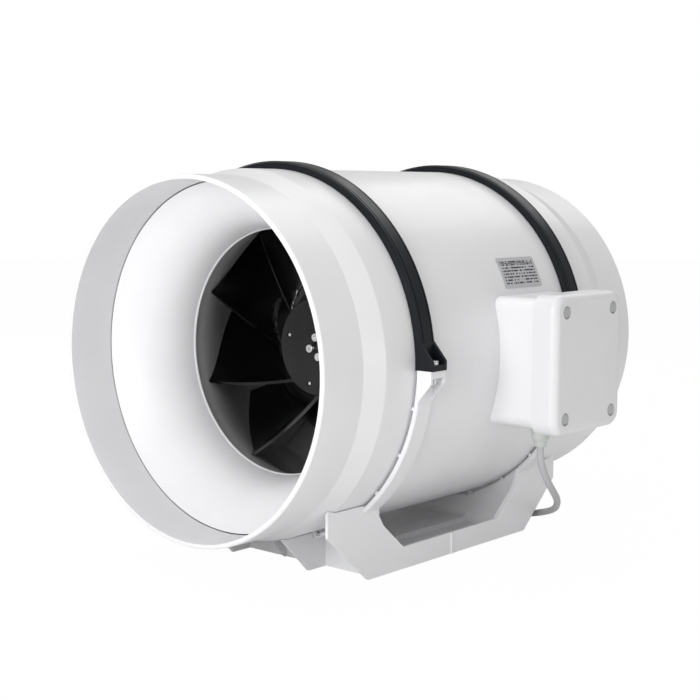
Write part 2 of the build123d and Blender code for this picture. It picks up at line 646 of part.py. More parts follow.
# ---------------------------------------------------------------- mounting base
POST_TOP_Z = AXIS_HEIGHT - sqrt(SPIGOT_R ** 2 - BASE_HALF_WIDTH ** 2)
CRADLE_LIP_R = 166.0
TAB_ANGLES = (12.0, 27.0, 42.0, 57.0, 72.0)      # below the horizontal, on each side
SLOT_ANGLES = (72.0,)      # tabs that stand in a slot of the ring's lip
SLOT_DEPTH = 2.2
SLOT_LENGTH = 13.0
TAB_R = BODY_R + 0.5       # the tabs' inner faces just clear the casing
TAB_THICK = 2.5
TAB_WIDTH = 3.0
TAB_HEIGHT = 4.4
EAR_FOOT = 26.0


def cradle_ring(x):
    """Lower half of a clamp ring, with a nut ear at each end."""
    half = CLAMP_WIDTH / 2
    with BuildPart() as cradle:
        spun(*ring_outline(x, CRADLE_R, CRADLE_LIP_R, 1.0))
        split(bisect_by=Plane.XY.offset(SPLIT_Z), keep=Keep.BOTTOM)
        with BuildSketch(Plane.YZ.offset(x - half)):
            with BuildLine():
                Polyline((-BODY_R, SPLIT_Z), (-EAR_REACH + 1, SPLIT_Z), (-EAR_REACH + 1, SPLIT_Z - 10),
                         (-CRADLE_R + 2.5, SPLIT_Z - EAR_FOOT), (-BODY_R + 6, SPLIT_Z - EAR_FOOT - 4),
                         close=True)
            make_face()
            mirror(about=Plane.YZ)
        extrude(amount=CLAMP_WIDTH)
        along_axis(CRADLE_LIP_R, x - CLAMP_WIDTH, x + CLAMP_WIDTH, Mode.SUBTRACT)
        for y in (-1, 1):
            with Locations((x, y * (CRADLE_R + 10), SPLIT_Z - NUT_SEAT - 20)):
                Box(POCKET_WIDTH, 20, 40, mode=Mode.SUBTRACT)
            with Locations((x, y * EAR_SCREW_Y, SPLIT_Z)):
                Cylinder(SCREW_R + 0.25, 40, mode=Mode.SUBTRACT)
    return cradle


def below_horizontal(angles, radius):
    """Places on both sides of the ring, each so many degrees below the horizontal."""
    for angle in angles:
        yield PolarLocations(radius, 1, start_angle=180 + angle)
        yield PolarLocations(radius, 1, start_angle=-angle)


with BuildPart() as mounting_base:
    # side panel: a low bar between two posts, its notch open towards the body
    with BuildSketch(side_plane(-BASE_HALF_WIDTH)):
        with BuildLine():
            Polyline((-POST_FOOT_X, 0), (-POST_TOP_X, POST_KNEE_Z), (-POST_TOP_X, POST_TOP_Z),
                     (-NOTCH_TOP_X, POST_TOP_Z), (-NOTCH_TOP_X, NOTCH_TOP_Z),
                     (-NOTCH_KNEE_X, NOTCH_KNEE_Z), (-NOTCH_FOOT_X, NOTCH_FOOT_Z),
                     (NOTCH_FOOT_X, NOTCH_FOOT_Z), (NOTCH_KNEE_X, NOTCH_KNEE_Z),
                     (NOTCH_TOP_X, NOTCH_TOP_Z), (NOTCH_TOP_X, POST_TOP_Z),
                     (POST_TOP_X, POST_TOP_Z), (POST_TOP_X, POST_KNEE_Z), (POST_FOOT_X, 0),
                     close=True)
        make_face()
    extrude(amount=-PANEL_THICK)
    with Locations((0, -BASE_HALF_WIDTH, NOTCH_FOOT_Z / 2)):
        Box(*BAR_RIB, NOTCH_FOOT_Z)
    # inner rib: a side of the raised channel that runs out to meet the body at each end
    rib_top = AXIS_HEIGHT - sqrt(CLEAR_R ** 2 - RIB_Y ** 2) + PANEL_THICK
    rib_end = RIB_FOOT_X + rib_top
    for end in (-1, 1):
        with BuildSketch(side_plane(-RIB_Y - PANEL_THICK / 2)):
            with BuildLine():
                Polyline((0, 0), (end * RIB_FOOT_X, 0), (end * rib_end, rib_top),
                         (end * WEB_X, rib_top), (end * WEB_X, PLATFORM_Z), (0, PLATFORM_Z), close=True)
            make_face()
        extrude(amount=-PANEL_THICK)
    with Locations((0, -(BASE_HALF_WIDTH + RIB_Y) / 2, FLOOR_THICK / 2)):
        Box(2 * WEB_X, BASE_HALF_WIDTH - RIB_Y - MERGE, FLOOR_THICK)
    mirror(about=Plane.XZ)
    # centre ribs, cross webs and the raised channel
    for end in (-1, 1):
        with BuildSketch(side_plane(PANEL_THICK / -2)):
            with BuildLine():
                Polyline((end * WEB_X, 0), (end * CENTRE_RIB_FOOT_X, 0),
                         (end * CENTRE_RIB_END_X, CENTRE_RIB_KNEE_Z),
                         (end * CENTRE_RIB_END_X, CENTRE_RIB_TOP_Z),
                         (end * WEB_X, CENTRE_RIB_TOP_Z), close=True)
            make_face()
        extrude(amount=-PANEL_THICK)
        with Locations((end * WEB_X, 0, POST_TOP_Z / 2)):
            Box(PANEL_THICK, 2 * (BASE_HALF_WIDTH - MERGE), POST_TOP_Z)
        # hollow rounding where the web meets the floor and the raised channel
        inner = end * (WEB_X - PANEL_THICK / 2)
        for y_from, y_to, z in ((-BASE_HALF_WIDTH + MERGE, -RIB_Y, FLOOR_THICK), (-RIB_Y, 0, PLATFORM_Z)):
            with BuildSketch(side_plane(y_to)):
                with BuildLine():
                    foot = (inner - end * WEB_FOOT, z)
                    rise = (inner, z + WEB_FOOT)
                    RadiusArc(foot, rise, WEB_FOOT * -end)
                    Polyline(rise, (inner, z - MERGE), (foot[0], z - MERGE), foot)
                make_face()
            foot_fill = extrude(amount=y_to - y_from)
            mirror(foot_fill, about=Plane.XZ)
    with Locations((0, 0, PLATFORM_Z - PLATFORM_THICK / 2)):
        Box(2 * WEB_X, 2 * RIB_Y, PLATFORM_THICK)
    # everything so far stays clear of the body, its cones and its collars
    with BuildSketch(PROFILE):
        with BuildLine():
            Polyline((-HALF_LENGTH, 0), (-HALF_LENGTH, SPIGOT_R + UNDER_GAP),
                     (-COLLAR_END, SPIGOT_R + UNDER_GAP), (-CONE_END, CLEAR_R), (CONE_END, CLEAR_R),
                     (COLLAR_END, SPIGOT_R + UNDER_GAP), (HALF_LENGTH, SPIGOT_R + UNDER_GAP),
                     (HALF_LENGTH, 0), close=True)
        make_face()
    revolve(axis=FAN_AXIS, mode=Mode.SUBTRACT)
    for end in (-1, 1):
        along_axis(CRADLE_LIP_R, end * (WEB_X - 2 * PANEL_THICK), end * (WEB_X + PANEL_THICK), Mode.SUBTRACT)
    # countersunk mounting holes, each with a boss below
    hole_spots = [(x, y) for x in (-MOUNT_HOLE_X, MOUNT_HOLE_X) for y in (-MOUNT_HOLE_Y, MOUNT_HOLE_Y)]
    with BuildSketch():
        with Locations(*hole_spots):
            Circle(BOSS_R)
    extrude(amount=PLATFORM_Z)
    with BuildSketch():
        with Locations(*hole_spots):
            Circle(MOUNT_HOLE_R)
    extrude(amount=PLATFORM_Z, mode=Mode.SUBTRACT)
    with Locations(*[(x, y, PLATFORM_Z) for x, y in hole_spots]):
        Cone(MOUNT_HOLE_R, SINK_R, SINK_DEPTH, align=(Align.CENTER, Align.CENTER, Align.MAX),
             mode=Mode.SUBTRACT)
    # lower half rings, with spacer tabs along both lips
    for x in (-CLAMP_X, CLAMP_X):
        add(cradle_ring(x).part)
        for lip_x in (x - CLAMP_WIDTH / 2, x + CLAMP_WIDTH / 2 - TAB_THICK):
            with BuildSketch(across(lip_x)):
                for place in below_horizontal(SLOT_ANGLES, CRADLE_LIP_R):
                    with place:
                        Rectangle(2 * SLOT_DEPTH, SLOT_LENGTH)
            extrude(amount=TAB_THICK, mode=Mode.SUBTRACT)
            with BuildSketch(across(lip_x)):
                for place in below_horizontal(TAB_ANGLES, TAB_R + TAB_HEIGHT / 2):
                    with place:
                        Rectangle(TAB_HEIGHT, TAB_WIDTH)
            extrude(amount=TAB_THICK)
        along_axis(FLANGE_R + 0.3, x - LIP_HALF, x + LIP_HALF, Mode.SUBTRACT)
pieces["mounting_base"] = mounting_base

# ---------------------------------------------------------------- terminal box
COLUMN_R = 8.3
SADDLE_R = BODY_R + 0.1
BOX_DEPTH = -SEAM_Y - 120
COLUMNS = [(BOX_X + i * BOX_SCREW_X, BOX_Z + j * BOX_SCREW_Z) for i in (-1, 1) for j in (-1, 1)]
FIXINGS = [(BOX_X - BOX_FIXING_X, AXIS_HEIGHT), (BOX_X + BOX_FIXING_X, AXIS_HEIGHT)]
LID_SCREW_R = 1.9
with BuildPart(mode=Mode.PRIVATE) as box_floor:
    with BuildSketch(side_plane(SEAM_Y)):
        with Locations((BOX_X, BOX_Z)):
            RectangleRounded(BOX_SIZE[0] - 1, BOX_SIZE[1] - 1, BOX_CORNER)
    extrude(amount=-BOX_DEPTH)
    along_axis(SADDLE_R + BOX_WALL, BOX_X - BOX_SIZE[0], BOX_X + BOX_SIZE[0], Mode.INTERSECT)

with BuildPart() as terminal_box:
    with BuildSketch(side_plane(SEAM_Y)):
        with Locations((BOX_X, BOX_Z)):
            RectangleRounded(*BOX_SIZE, BOX_CORNER)
            RectangleRounded(BOX_SIZE[0] - 2 * BOX_WALL, BOX_SIZE[1] - 2 * BOX_WALL,
                             BOX_CORNER - BOX_WALL, mode=Mode.SUBTRACT)
    extrude(amount=-BOX_DEPTH)
    with BuildSketch(side_plane(SEAM_Y)):
        with Locations(*COLUMNS):
            Circle(COLUMN_R)
    extrude(amount=-BOX_DEPTH)
    add(box_floor.part)
    along_axis(SADDLE_R, BOX_X - BOX_SIZE[0], BOX_X + BOX_SIZE[0], Mode.SUBTRACT)
    with BuildSketch(side_plane(SEAM_Y)):
        with Locations(*COLUMNS):
            Circle(LID_SCREW_R + 0.05)
    extrude(amount=-16, mode=Mode.SUBTRACT)
    with BuildSketch(side_plane(-SADDLE_R - BOX_WALL - 1)):
        with Locations(*FIXINGS):
            Circle(FIXING_R + 0.05)
        with Locations((LEAD_X, AXIS_HEIGHT)):
            Circle(GROMMET_R)
    extrude(amount=-20, mode=Mode.SUBTRACT)
    with BuildSketch(Plane.XY.offset(BOX_Z - BOX_SIZE[1] / 2 - 1)):
        with Locations((GLAND_X, GLAND_Y)):
            Circle(7.0)
    extrude(amount=BOX_WALL + 2, mode=Mode.SUBTRACT)
pieces["terminal_box"] = terminal_box

with BuildPart() as lid_gasket:
    with BuildSketch(side_plane(SEAM_Y)):
        with Locations((BOX_X, BOX_Z)):
            RectangleRounded(BOX_SIZE[0] - 1.6, BOX_SIZE[1] - 1.6, BOX_CORNER - 1)
            RectangleRounded(BOX_SIZE[0] - 5.6, BOX_SIZE[1] - 5.6, BOX_CORNER - 3, mode=Mode.SUBTRACT)
    extrude(amount=LID_GASKET)
pieces["lid_gasket"] = lid_gasket

LID_DEPTH = -(LID_FACE_Y - SEAM_Y) - LID_GASKET
CAP_DEPTH = 2.4
HEAD_SEAT = 6.5            # depth of the screw head's seat below the lid's face
with BuildPart() as terminal_box_lid:
    with BuildSketch(side_plane(SEAM_Y - LID_GASKET)):
        with Locations((BOX_X, BOX_Z)):
            RectangleRounded(*LID_SIZE, BOX_CORNER + 3)
    extrude(amount=LID_DEPTH)
    fillet(terminal_box_lid.faces().sort_by(Axis.Y)[0].edges(), radius=LID_EDGE_R)
    with BuildSketch(side_plane(SEAM_Y - LID_GASKET)):
        with Locations((BOX_X, BOX_Z)):
            RectangleRounded(BOX_SIZE[0] - 2 * BOX_WALL, BOX_SIZE[1] - 2 * BOX_WALL, BOX_CORNER - BOX_WALL)
        with Locations(*COLUMNS):
            Circle(COLUMN_R, mode=Mode.SUBTRACT)
    extrude(amount=LID_DEPTH - BOX_WALL, mode=Mode.SUBTRACT)
    with BuildSketch(side_plane(LID_FACE_Y)):
        with Locations(*COLUMNS):
            Circle(CAP_R + 0.1)
    extrude(amount=-HEAD_SEAT, mode=Mode.SUBTRACT)
    with BuildSketch(side_plane(LID_FACE_Y)):
        with Locations(*COLUMNS):
            Circle(LID_SCREW_R + 0.2)
    extrude(amount=-LID_DEPTH, mode=Mode.SUBTRACT)
pieces["terminal_box_lid"] = terminal_box_lid

with BuildPart() as lid_screws:
    with BuildSketch(side_plane(LID_FACE_Y + HEAD_SEAT)):
        with Locations(*COLUMNS):
            Circle(LID_SCREW_R * 2)
    extrude(amount=2.4)
    with BuildSketch(side_plane(LID_FACE_Y + HEAD_SEAT)):
        with Locations(*COLUMNS):
            Circle(LID_SCREW_R)
    extrude(amount=-LID_DEPTH - 8)
pieces["lid_screws"] = lid_screws

with BuildPart() as screw_caps:
    with BuildSketch(side_plane(LID_FACE_Y - 0.2)):
        with Locations(*COLUMNS):
            Circle(CAP_R)
    extrude(amount=-CAP_DEPTH)
    front_edges = screw_caps.faces().filter_by_position(Axis.Y, LID_FACE_Y - 0.3, LID_FACE_Y - 0.1).edges()
    fillet(front_edges, radius=0.4)
    with BuildSketch(side_plane(LID_FACE_Y - 0.2 + CAP_DEPTH)):
        with Locations(*COLUMNS):
            Circle(LID_SCREW_R * 2)
    extrude(amount=-(HEAD_SEAT - 2.4 - CAP_DEPTH + 0.2))
pieces["screw_caps"] = screw_caps

with BuildPart() as box_fixing_screws:
    floor_y = -SADDLE_R - BOX_WALL
    with BuildSketch(side_plane(floor_y)):
        with Locations(*FIXINGS):
            Circle(FIXING_R * 2)
    extrude(amount=2.2, taper=20)
    with BuildSketch(side_plane(floor_y)):
        with Locations(*FIXINGS):
            Circle(FIXING_R)
    extrude(amount=-BOX_WALL - BODY_WALL + 0.3)
pieces["box_fixing_screws"] = box_fixing_screws

# ---------------------------------------------------------------- inside the terminal box
TERMINALS = 5
TERMINAL_PITCH = 8.0
BLOCK_Z = BOX_Z + 42.0
BLOCK_Y = -164.8
BLOCK_DEPTH = 22.0
with BuildPart() as terminal_block:
    with Locations((BOX_X, BLOCK_Y, BLOCK_Z)):
        Box(TERMINALS * TERMINAL_PITCH, BLOCK_DEPTH, 16, align=(Align.CENTER, Align.MAX, Align.CENTER))
    with BuildSketch(side_plane(BLOCK_Y - BLOCK_DEPTH)):
        with Locations((BOX_X, BLOCK_Z)):
            with GridLocations(TERMINAL_PITCH, 8, TERMINALS, 2):
                Circle(2.2)
    extrude(amount=-5, mode=Mode.SUBTRACT)
    with BuildSketch(side_plane(BLOCK_Y - BLOCK_DEPTH)):
        with Locations((BOX_X, BLOCK_Z)):
            with GridLocations(TERMINAL_PITCH, 1, TERMINALS - 1, 1):
                Rectangle(1.2, 16)
    extrude(amount=-8, mode=Mode.SUBTRACT)
pieces["terminal_block"] = terminal_block

CAPACITOR_R = 13.0
CAPACITOR_X = (41.0, 80.0)
CAPACITOR_DROP = 30.0
with BuildPart() as run_capacitor:
    reach = SADDLE_R + BOX_WALL + CAPACITOR_R + RUN_GAP
    middle = (-sqrt(reach ** 2 - CAPACITOR_DROP ** 2), AXIS_HEIGHT - CAPACITOR_DROP)
    with BuildSketch(Plane.YZ.offset(CAPACITOR_X[0])):
        with Locations(middle):
            Circle(CAPACITOR_R)
    extrude(amount=CAPACITOR_X[1] - CAPACITOR_X[0])
    fillet(run_capacitor.edges().filter_by(GeomType.CIRCLE), radius=1.5)
    with BuildSketch(Plane.YZ.offset(CAPACITOR_X[0])):
        with Locations((middle[0] - 4, middle[1]), (middle[0] + 4, middle[1])):
            Rectangle(0.8, 6.3)
    extrude(amount=-6)
pieces["run_capacitor"] = run_capacitor

with BuildPart() as lead_grommet:
    with BuildSketch(side_plane(-BODY_IN - 0.6)):
        with Locations((LEAD_X, AXIS_HEIGHT)):
            Circle(GROMMET_R - 0.05)
            Circle(LEAD_R + 0.05, mode=Mode.SUBTRACT)
    extrude(amount=SADDLE_R + BOX_WALL - BODY_IN)
    with BuildSketch(side_plane(-SADDLE_R - BOX_WALL - 0.1)):
        with Locations((LEAD_X, AXIS_HEIGHT)):
            Circle(GROMMET_R + 2)
            Circle(LEAD_R + 0.05, mode=Mode.SUBTRACT)
    extrude(amount=1.6)
pieces["lead_grommet"] = lead_grommet

with BuildPart() as motor_lead:
    with BuildSketch(side_plane(-MOTOR_R + MOTOR_WALL)):
        with Locations((LEAD_X, AXIS_HEIGHT)):
            Circle(LEAD_R)
    extrude(amount=SADDLE_R + BOX_WALL + 10 - MOTOR_R + MOTOR_WALL)
pieces["motor_lead"] = motor_lead

# ---------------------------------------------------------------- rating plate
PLATE_ANGLES = (20.5, 30.9)
PLATE_X = (17.5, 76.0)
PLATE_THICK = 0.4
with BuildPart() as rating_plate:
    plate_r = BODY_R + PLATE_THICK / 2 + 0.05
    middle_angle = radians(sum(PLATE_ANGLES) / 2)
    with BuildSketch(across(PLATE_X[0])):
        with BuildLine():
            lo, hi = radians(PLATE_ANGLES[0]), radians(PLATE_ANGLES[1])
            arc_points = []
            for radius in (plate_r - PLATE_THICK / 2, plate_r + PLATE_THICK / 2):
                arc_points.append([(-radius * cos(a), radius * sin(a)) for a in (lo, middle_angle, hi)])
            inner_arc = ThreePointArc(*arc_points[0])
            outer_arc = ThreePointArc(*arc_points[1])
            Line(inner_arc @ 0, outer_arc @ 0)
            Line(inner_arc @ 1, outer_arc @ 1)
        make_face()
    extrude(amount=PLATE_X[1] - PLATE_X[0])
pieces["rating_plate"] = rating_plate

# ---------------------------------------------------------------- cable gland and cord
BOX_BOTTOM_Z = BOX_Z - BOX_SIZE[1] / 2
GLAND_END_Z = 106.5
GLAND_HEX_R = 9.2
GLAND_HEX_DEPTH = 5.0
GLAND_THREAD_R = 6.95
GLAND_THREAD = 10.0        # threaded part that stands inside the box, with its wall
with BuildPart() as cable_gland:
    with BuildSketch(Plane.XY.offset(BOX_BOTTOM_Z)):
        with Locations((GLAND_X, GLAND_Y)):
            RegularPolygon(GLAND_HEX_R, 6)
    extrude(amount=-GLAND_HEX_DEPTH)
    with BuildSketch(Plane.XY.offset(BOX_BOTTOM_Z)):
        with Locations((GLAND_X, GLAND_Y)):
            Circle(GLAND_THREAD_R)
    extrude(amount=GLAND_THREAD)
    with BuildSketch(Plane.XY.offset(BOX_BOTTOM_Z)):
        with Locations((GLAND_X, GLAND_Y)):
            Circle(CORD_R + 0.05)
    extrude(amount=GLAND_THREAD, both=True, mode=Mode.SUBTRACT)
pieces["cable_gland"] = cable_gland

with BuildPart() as gland_locknut:
    with BuildSketch(Plane.XY.offset(BOX_BOTTOM_Z + BOX_WALL)):
        with Locations((GLAND_X, GLAND_Y)):
            RegularPolygon(9.0, 6)
            Circle(7.0, mode=Mode.SUBTRACT)
    extrude(amount=3.5)
pieces["gland_locknut"] = gland_locknut

with BuildPart() as gland_nut:
    gland_profile = Plane(origin=(GLAND_X, GLAND_Y, 0), x_dir=(1, 0, 0), z_dir=(0, -1, 0))
    nut_top = BOX_BOTTOM_Z - GLAND_HEX_DEPTH
    with BuildSketch(gland_profile):
        with BuildLine():
            Polyline((CORD_R + 0.05, nut_top), (8.2, nut_top), (8.2, 115.5), (7.4, 113.0), (6.4, 112.5),
                     (5.4, GLAND_END_Z), (CORD_R + 0.05, GLAND_END_Z), close=True)
        make_face()
    revolve(axis=Axis((GLAND_X, GLAND_Y, 0), (0, 0, 1)))
pieces["gland_nut"] = gland_nut

with BuildPart() as cord_entry:
    with Locations((GLAND_X, GLAND_Y, GLAND_END_Z)):
        Cylinder(CORD_R, BLOCK_Z - 8 - GLAND_END_Z, align=(Align.CENTER, Align.CENTER, Align.MIN))
pieces["cord_entry"] = cord_entry

# The free cord drops from the gland, turns in behind the rear post, runs along the floor,
# and its spare length is wound in a coil under the outlet, with the plug beyond it.
FLOOR_CORD_Z = CORD_R + 0.05
COIL_X, COIL_Y = 193.0, 25.0
COIL_R = 42.5              # middle of the outermost turn
COIL_ENTRY_Y = 0.0
COIL_EXIT_Y = 50.0
SUPPLY_ROUTE = [
    (GLAND_X, GLAND_Y, GLAND_END_Z),
    (GLAND_X, GLAND_Y, 94.5),
    (31.5, -187.5, 83.0),
    (39.0, -188.0, 71.5),
    (51.5, -185.5, 61.0),
    (67.5, -179.0, 51.5),
    (86.0, -168.0, 43.2),
    (106.0, -154.5, 34.5),
    (126.2, -140.0, 26.0),
    (144.5, -121.5, 17.0),
    (155.0, -97.0, 9.0),
    (157.0, -71.0, 3.8),
    (154.5, -46.0, FLOOR_CORD_Z),
    (COIL_X - COIL_R, -22.0, FLOOR_CORD_Z),
    (COIL_X - COIL_R, COIL_ENTRY_Y, FLOOR_CORD_Z),
]
PLUG_X, PLUG_Y = 158.0, 130.0
PLUG_CORD_Z = 8.0          # height of the cord where it enters the plug's strain relief
RELIEF_Y = 115.0
PLUG_ROUTE = [
    (COIL_X - COIL_R, COIL_EXIT_Y, 3 * CORD_R),
    (COIL_X - COIL_R, 62.0, 3 * CORD_R),
    (151.8, 76.0, 7.0),
    (154.8, 90.0, 5.0),
    (PLUG_X, 103.0, PLUG_CORD_Z),
    (PLUG_X, RELIEF_Y, PLUG_CORD_Z),
]


def cord_tube(route, label):
    """Straight runs joined by tangent arcs, each as large as its two runs allow."""
    points = [Vector(*p) for p in route]
    radii = []
    for a, b, c in zip(points, points[1:], points[2:]):
        turn = (b - a).get_angle(c - b)
        radii.append(0.45 * min((b - a).length, (c - b).length) / tan(radians(turn / 2)))
    with BuildPart() as tube:
        with BuildLine() as path:
            FilletPolyline(*points, radius=radii)
        with BuildSketch(Plane(origin=points[0], z_dir=points[1] - points[0])):
            Circle(CORD_R)
        sweep()
    length = path.wire().length
    expected = pi * CORD_R ** 2 * length
    print(label, "radii", [round(r) for r in radii], "length", round(length, 1),
          "volume / section x length", round(tube.part.volume / expected, 4))
    return tube, length


supply_cord, supply_length = cord_tube(SUPPLY_ROUTE, "supply_cord")
plug_cord, plug_length = cord_tube(PLUG_ROUTE, "plug_cord")
pieces["supply_cord"] = supply_cord
pieces["plug_cord"] = plug_cord

COIL_COLUMNS = 3
with BuildPart() as cord_coil:
    coil_out = COIL_R + CORD_R
    coil_in = COIL_R - (2 * COIL_COLUMNS - 1) * CORD_R
    with BuildSketch(Plane.XY.offset(0.05)):
        with Locations((COIL_X, COIL_Y)):
            Circle(coil_out)
            Circle(coil_in, mode=Mode.SUBTRACT)
    extrude(amount=4 * CORD_R)
    chamfer(cord_coil.edges().filter_by(GeomType.CIRCLE), length=1.5)
    for y_from, y_to, z in ((COIL_ENTRY_Y, COIL_Y, FLOOR_CORD_Z), (COIL_Y, COIL_EXIT_Y, 3 * CORD_R)):
        with BuildSketch(Plane(origin=(COIL_X - COIL_R, y_from, z), z_dir=(0, 1, 0))):
            Circle(CORD_R)
        extrude(amount=y_to - y_from)
pieces["cord_coil"] = cord_coil

# Three-pin moulded plug lying on the floor.
PLUG_SIZE = (26.0, 34.0, 20.0)
PLUG_FLARE = 10.0
PLUG_Z = PLUG_SIZE[2] / 2 + 0.05
PIN = (1.6, 6.4, 17.0)
PIN_SPREAD = 8.0
with BuildPart() as cord_plug:
    with BuildSketch(Plane(origin=(PLUG_X, PLUG_Y, PLUG_Z), z_dir=(0, 1, 0))):
        RectangleRounded(PLUG_SIZE[2], PLUG_SIZE[0], 6)
    with BuildSketch(Plane(origin=(PLUG_X, PLUG_Y + PLUG_SIZE[1], PLUG_Z), z_dir=(0, 1, 0))):
        RectangleRounded(PLUG_SIZE[2], PLUG_SIZE[0] + PLUG_FLARE, 7)
    loft()
    fillet(cord_plug.faces().sort_by(Axis.Y)[-1].edges(), radius=1.5)
    with BuildSketch(Plane(origin=(PLUG_X, RELIEF_Y, PLUG_CORD_Z), z_dir=(0, 1, 0))):
        Circle(CORD_R + 1.0)
    with BuildSketch(Plane(origin=(PLUG_X, PLUG_Y + 2, PLUG_Z), z_dir=(0, 1, 0))):
        Circle(CORD_R + 3.4)
    loft()
    for dx, dz, turn in ((0, 5, 0), (-PIN_SPREAD, -2.5, 60), (PIN_SPREAD, -2.5, -60)):
        pin_plane = Plane(origin=(PLUG_X + dx, PLUG_Y + PLUG_SIZE[1], PLUG_Z + dz),
                          x_dir=(1, 0, 0), z_dir=(0, 1, 0))
        with BuildSketch(pin_plane):
            Rectangle(PIN[0], PIN[1], rotation=turn)
        extrude(amount=PIN[2])
pieces["cord_plug"] = cord_plug

coil_length = CORD_LENGTH - supply_length - plug_length
print("coil length", round(coil_length, 1), "turns",
      round(coil_length / (2 * pi * (COIL_R - (COIL_COLUMNS - 1) * CORD_R)), 2))

# ---------------------------------------------------------------- write one file per piece
for name, piece in pieces.items():
    piece.part.label = name
    export_step(piece.part, f"parts/{name}.step")
print(len(pieces), "pieces")
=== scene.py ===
# %% [markdown]
# # An inline duct fan, finished in Blender
# The model arrives as a fixed frame: every rigid piece is already in its place, in metres,
# with the air flowing along +X, +Z up and the terminal box on the -Y side. This file gives
# the pieces their looks. Pieces whose edges need a maker's touch are modelled again with
# bmesh operators, and the others keep their solid and get a finish.

# %% Load the frame
import json
import math
import bmesh
import bpy
from mathutils import Matrix, Vector
from mathutils.geometry import interpolate_bezier


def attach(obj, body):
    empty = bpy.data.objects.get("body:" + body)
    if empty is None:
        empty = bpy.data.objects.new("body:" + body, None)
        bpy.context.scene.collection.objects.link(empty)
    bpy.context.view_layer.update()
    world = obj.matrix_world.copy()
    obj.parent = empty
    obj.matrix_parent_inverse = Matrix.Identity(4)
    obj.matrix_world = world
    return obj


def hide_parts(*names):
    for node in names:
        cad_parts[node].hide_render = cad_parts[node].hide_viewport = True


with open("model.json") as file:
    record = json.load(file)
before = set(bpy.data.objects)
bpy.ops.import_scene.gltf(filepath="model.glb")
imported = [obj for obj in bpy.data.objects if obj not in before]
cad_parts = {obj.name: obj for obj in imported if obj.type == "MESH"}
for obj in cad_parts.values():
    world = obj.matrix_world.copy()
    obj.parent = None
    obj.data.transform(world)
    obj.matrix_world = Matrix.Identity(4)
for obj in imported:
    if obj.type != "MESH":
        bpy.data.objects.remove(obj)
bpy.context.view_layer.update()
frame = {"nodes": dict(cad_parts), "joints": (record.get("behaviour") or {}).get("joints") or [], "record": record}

scene = bpy.context.scene
scene.view_settings.view_transform = "Standard"

# %% [markdown]
# ## The camera
# A product shot of a big fan is taken from a little above its axis, with a lens long
# enough that the near rim doesn't balloon. The camera stands in front of the inlet, to the
# box's side. Its turn is given as a yaw from +X, a pitch and a very small roll.

# %% Place the camera
CAMERA_PLACE = (-0.9988, -0.8602, 0.3313)
CAMERA_YAW, CAMERA_PITCH, CAMERA_ROLL = 41.297, -6.469, -0.086
camera = bpy.data.objects.new("camera", bpy.data.cameras.new("camera"))
scene.collection.objects.link(camera)
scene.camera = camera
camera.data.sensor_width = 36.0
camera.data.lens = 70.66
yaw, pitch = math.radians(CAMERA_YAW), math.radians(CAMERA_PITCH)
looking = Vector((math.cos(yaw) * math.cos(pitch), math.sin(yaw) * math.cos(pitch), math.sin(pitch)))
camera.rotation_mode = "QUATERNION"
roll = Matrix.Rotation(math.radians(-CAMERA_ROLL), 4, "Z").to_quaternion()
camera.rotation_quaternion = looking.to_track_quat("-Z", "Y") @ roll
camera.location = CAMERA_PLACE
print("camera looks along", [round(v, 3) for v in looking])

# %% [markdown]
# ## The supply cord
# A mains lead is a fixed length of PVC round cable. It drops out of the gland, turns in
# behind the rear foot and runs along the floor. Its spare length is wound up under the
# outlet, as it would be for storage, and ends in a plug. One smooth NURBS line makes the
# whole lead, because a cable has no corners: its points are only what it bends towards.

# %% Route the cord
CORD_R = 0.00325
FLOOR_Z = CORD_R + 0.00005
COIL_CENTRE = Vector((0.193, 0.025))
COIL_RADII = (0.0425, 0.0339, 0.0272)    # middles of the three turns on the floor
COIL_TURNS = 5
POINTS_PER_TURN = 16
route_down = [
    (28.0, -186.0, 106.5), (28.0, -186.0, 94.5), (31.5, -187.5, 83.0), (39.0, -188.0, 71.5),
    (51.5, -185.5, 61.0), (67.5, -179.0, 51.5), (86.0, -168.0, 43.2), (106.0, -154.5, 34.5),
    (126.2, -140.0, 26.0), (144.5, -121.5, 17.0), (155.0, -97.0, 9.0), (157.0, -71.0, 3.8),
    (154.5, -46.0, 3.3), (150.5, -22.0, 3.3), (150.5, 0.0, 3.3),
]
route_plug = [
    (150.5, 50.0, 9.75), (150.5, 62.0, 9.75), (151.8, 76.0, 7.0), (154.8, 90.0, 5.0),
    (158.0, 103.0, 8.0), (158.0, 115.0, 8.0),
]
cord_points = [Vector(p) / 1000 for p in route_down]


def ease(share):
    """A share of 0..1 that starts and stops softly."""
    share = min(max(share, 0.0), 1.0)
    return share * share * (3 - 2 * share)


def coil_place(turns):
    """Radius and height of the coil's line after so many turns, counted from its entry.

    Three turns lie on the floor and shift inwards in the second half of each, and the
    third climbs over its neighbour. Two turns lie on top and shift outwards in their
    first half.
    """
    whole, part = divmod(turns, 1.0)
    outer, middle, inner = COIL_RADII
    width = 2 * CORD_R
    late, early = ease(2 * part - 1), ease(2 * part)
    if whole == 0:
        return outer + (middle - outer) * late, FLOOR_Z
    if whole == 1:
        return middle + (inner - middle) * late, FLOOR_Z
    if whole == 2:
        return inner, FLOOR_Z + width * math.sqrt(1 - (1 - late) ** 2)
    if whole == 3:
        return inner + (middle - inner) * early, FLOOR_Z + width
    return middle + (outer - middle) * early, FLOOR_Z + width


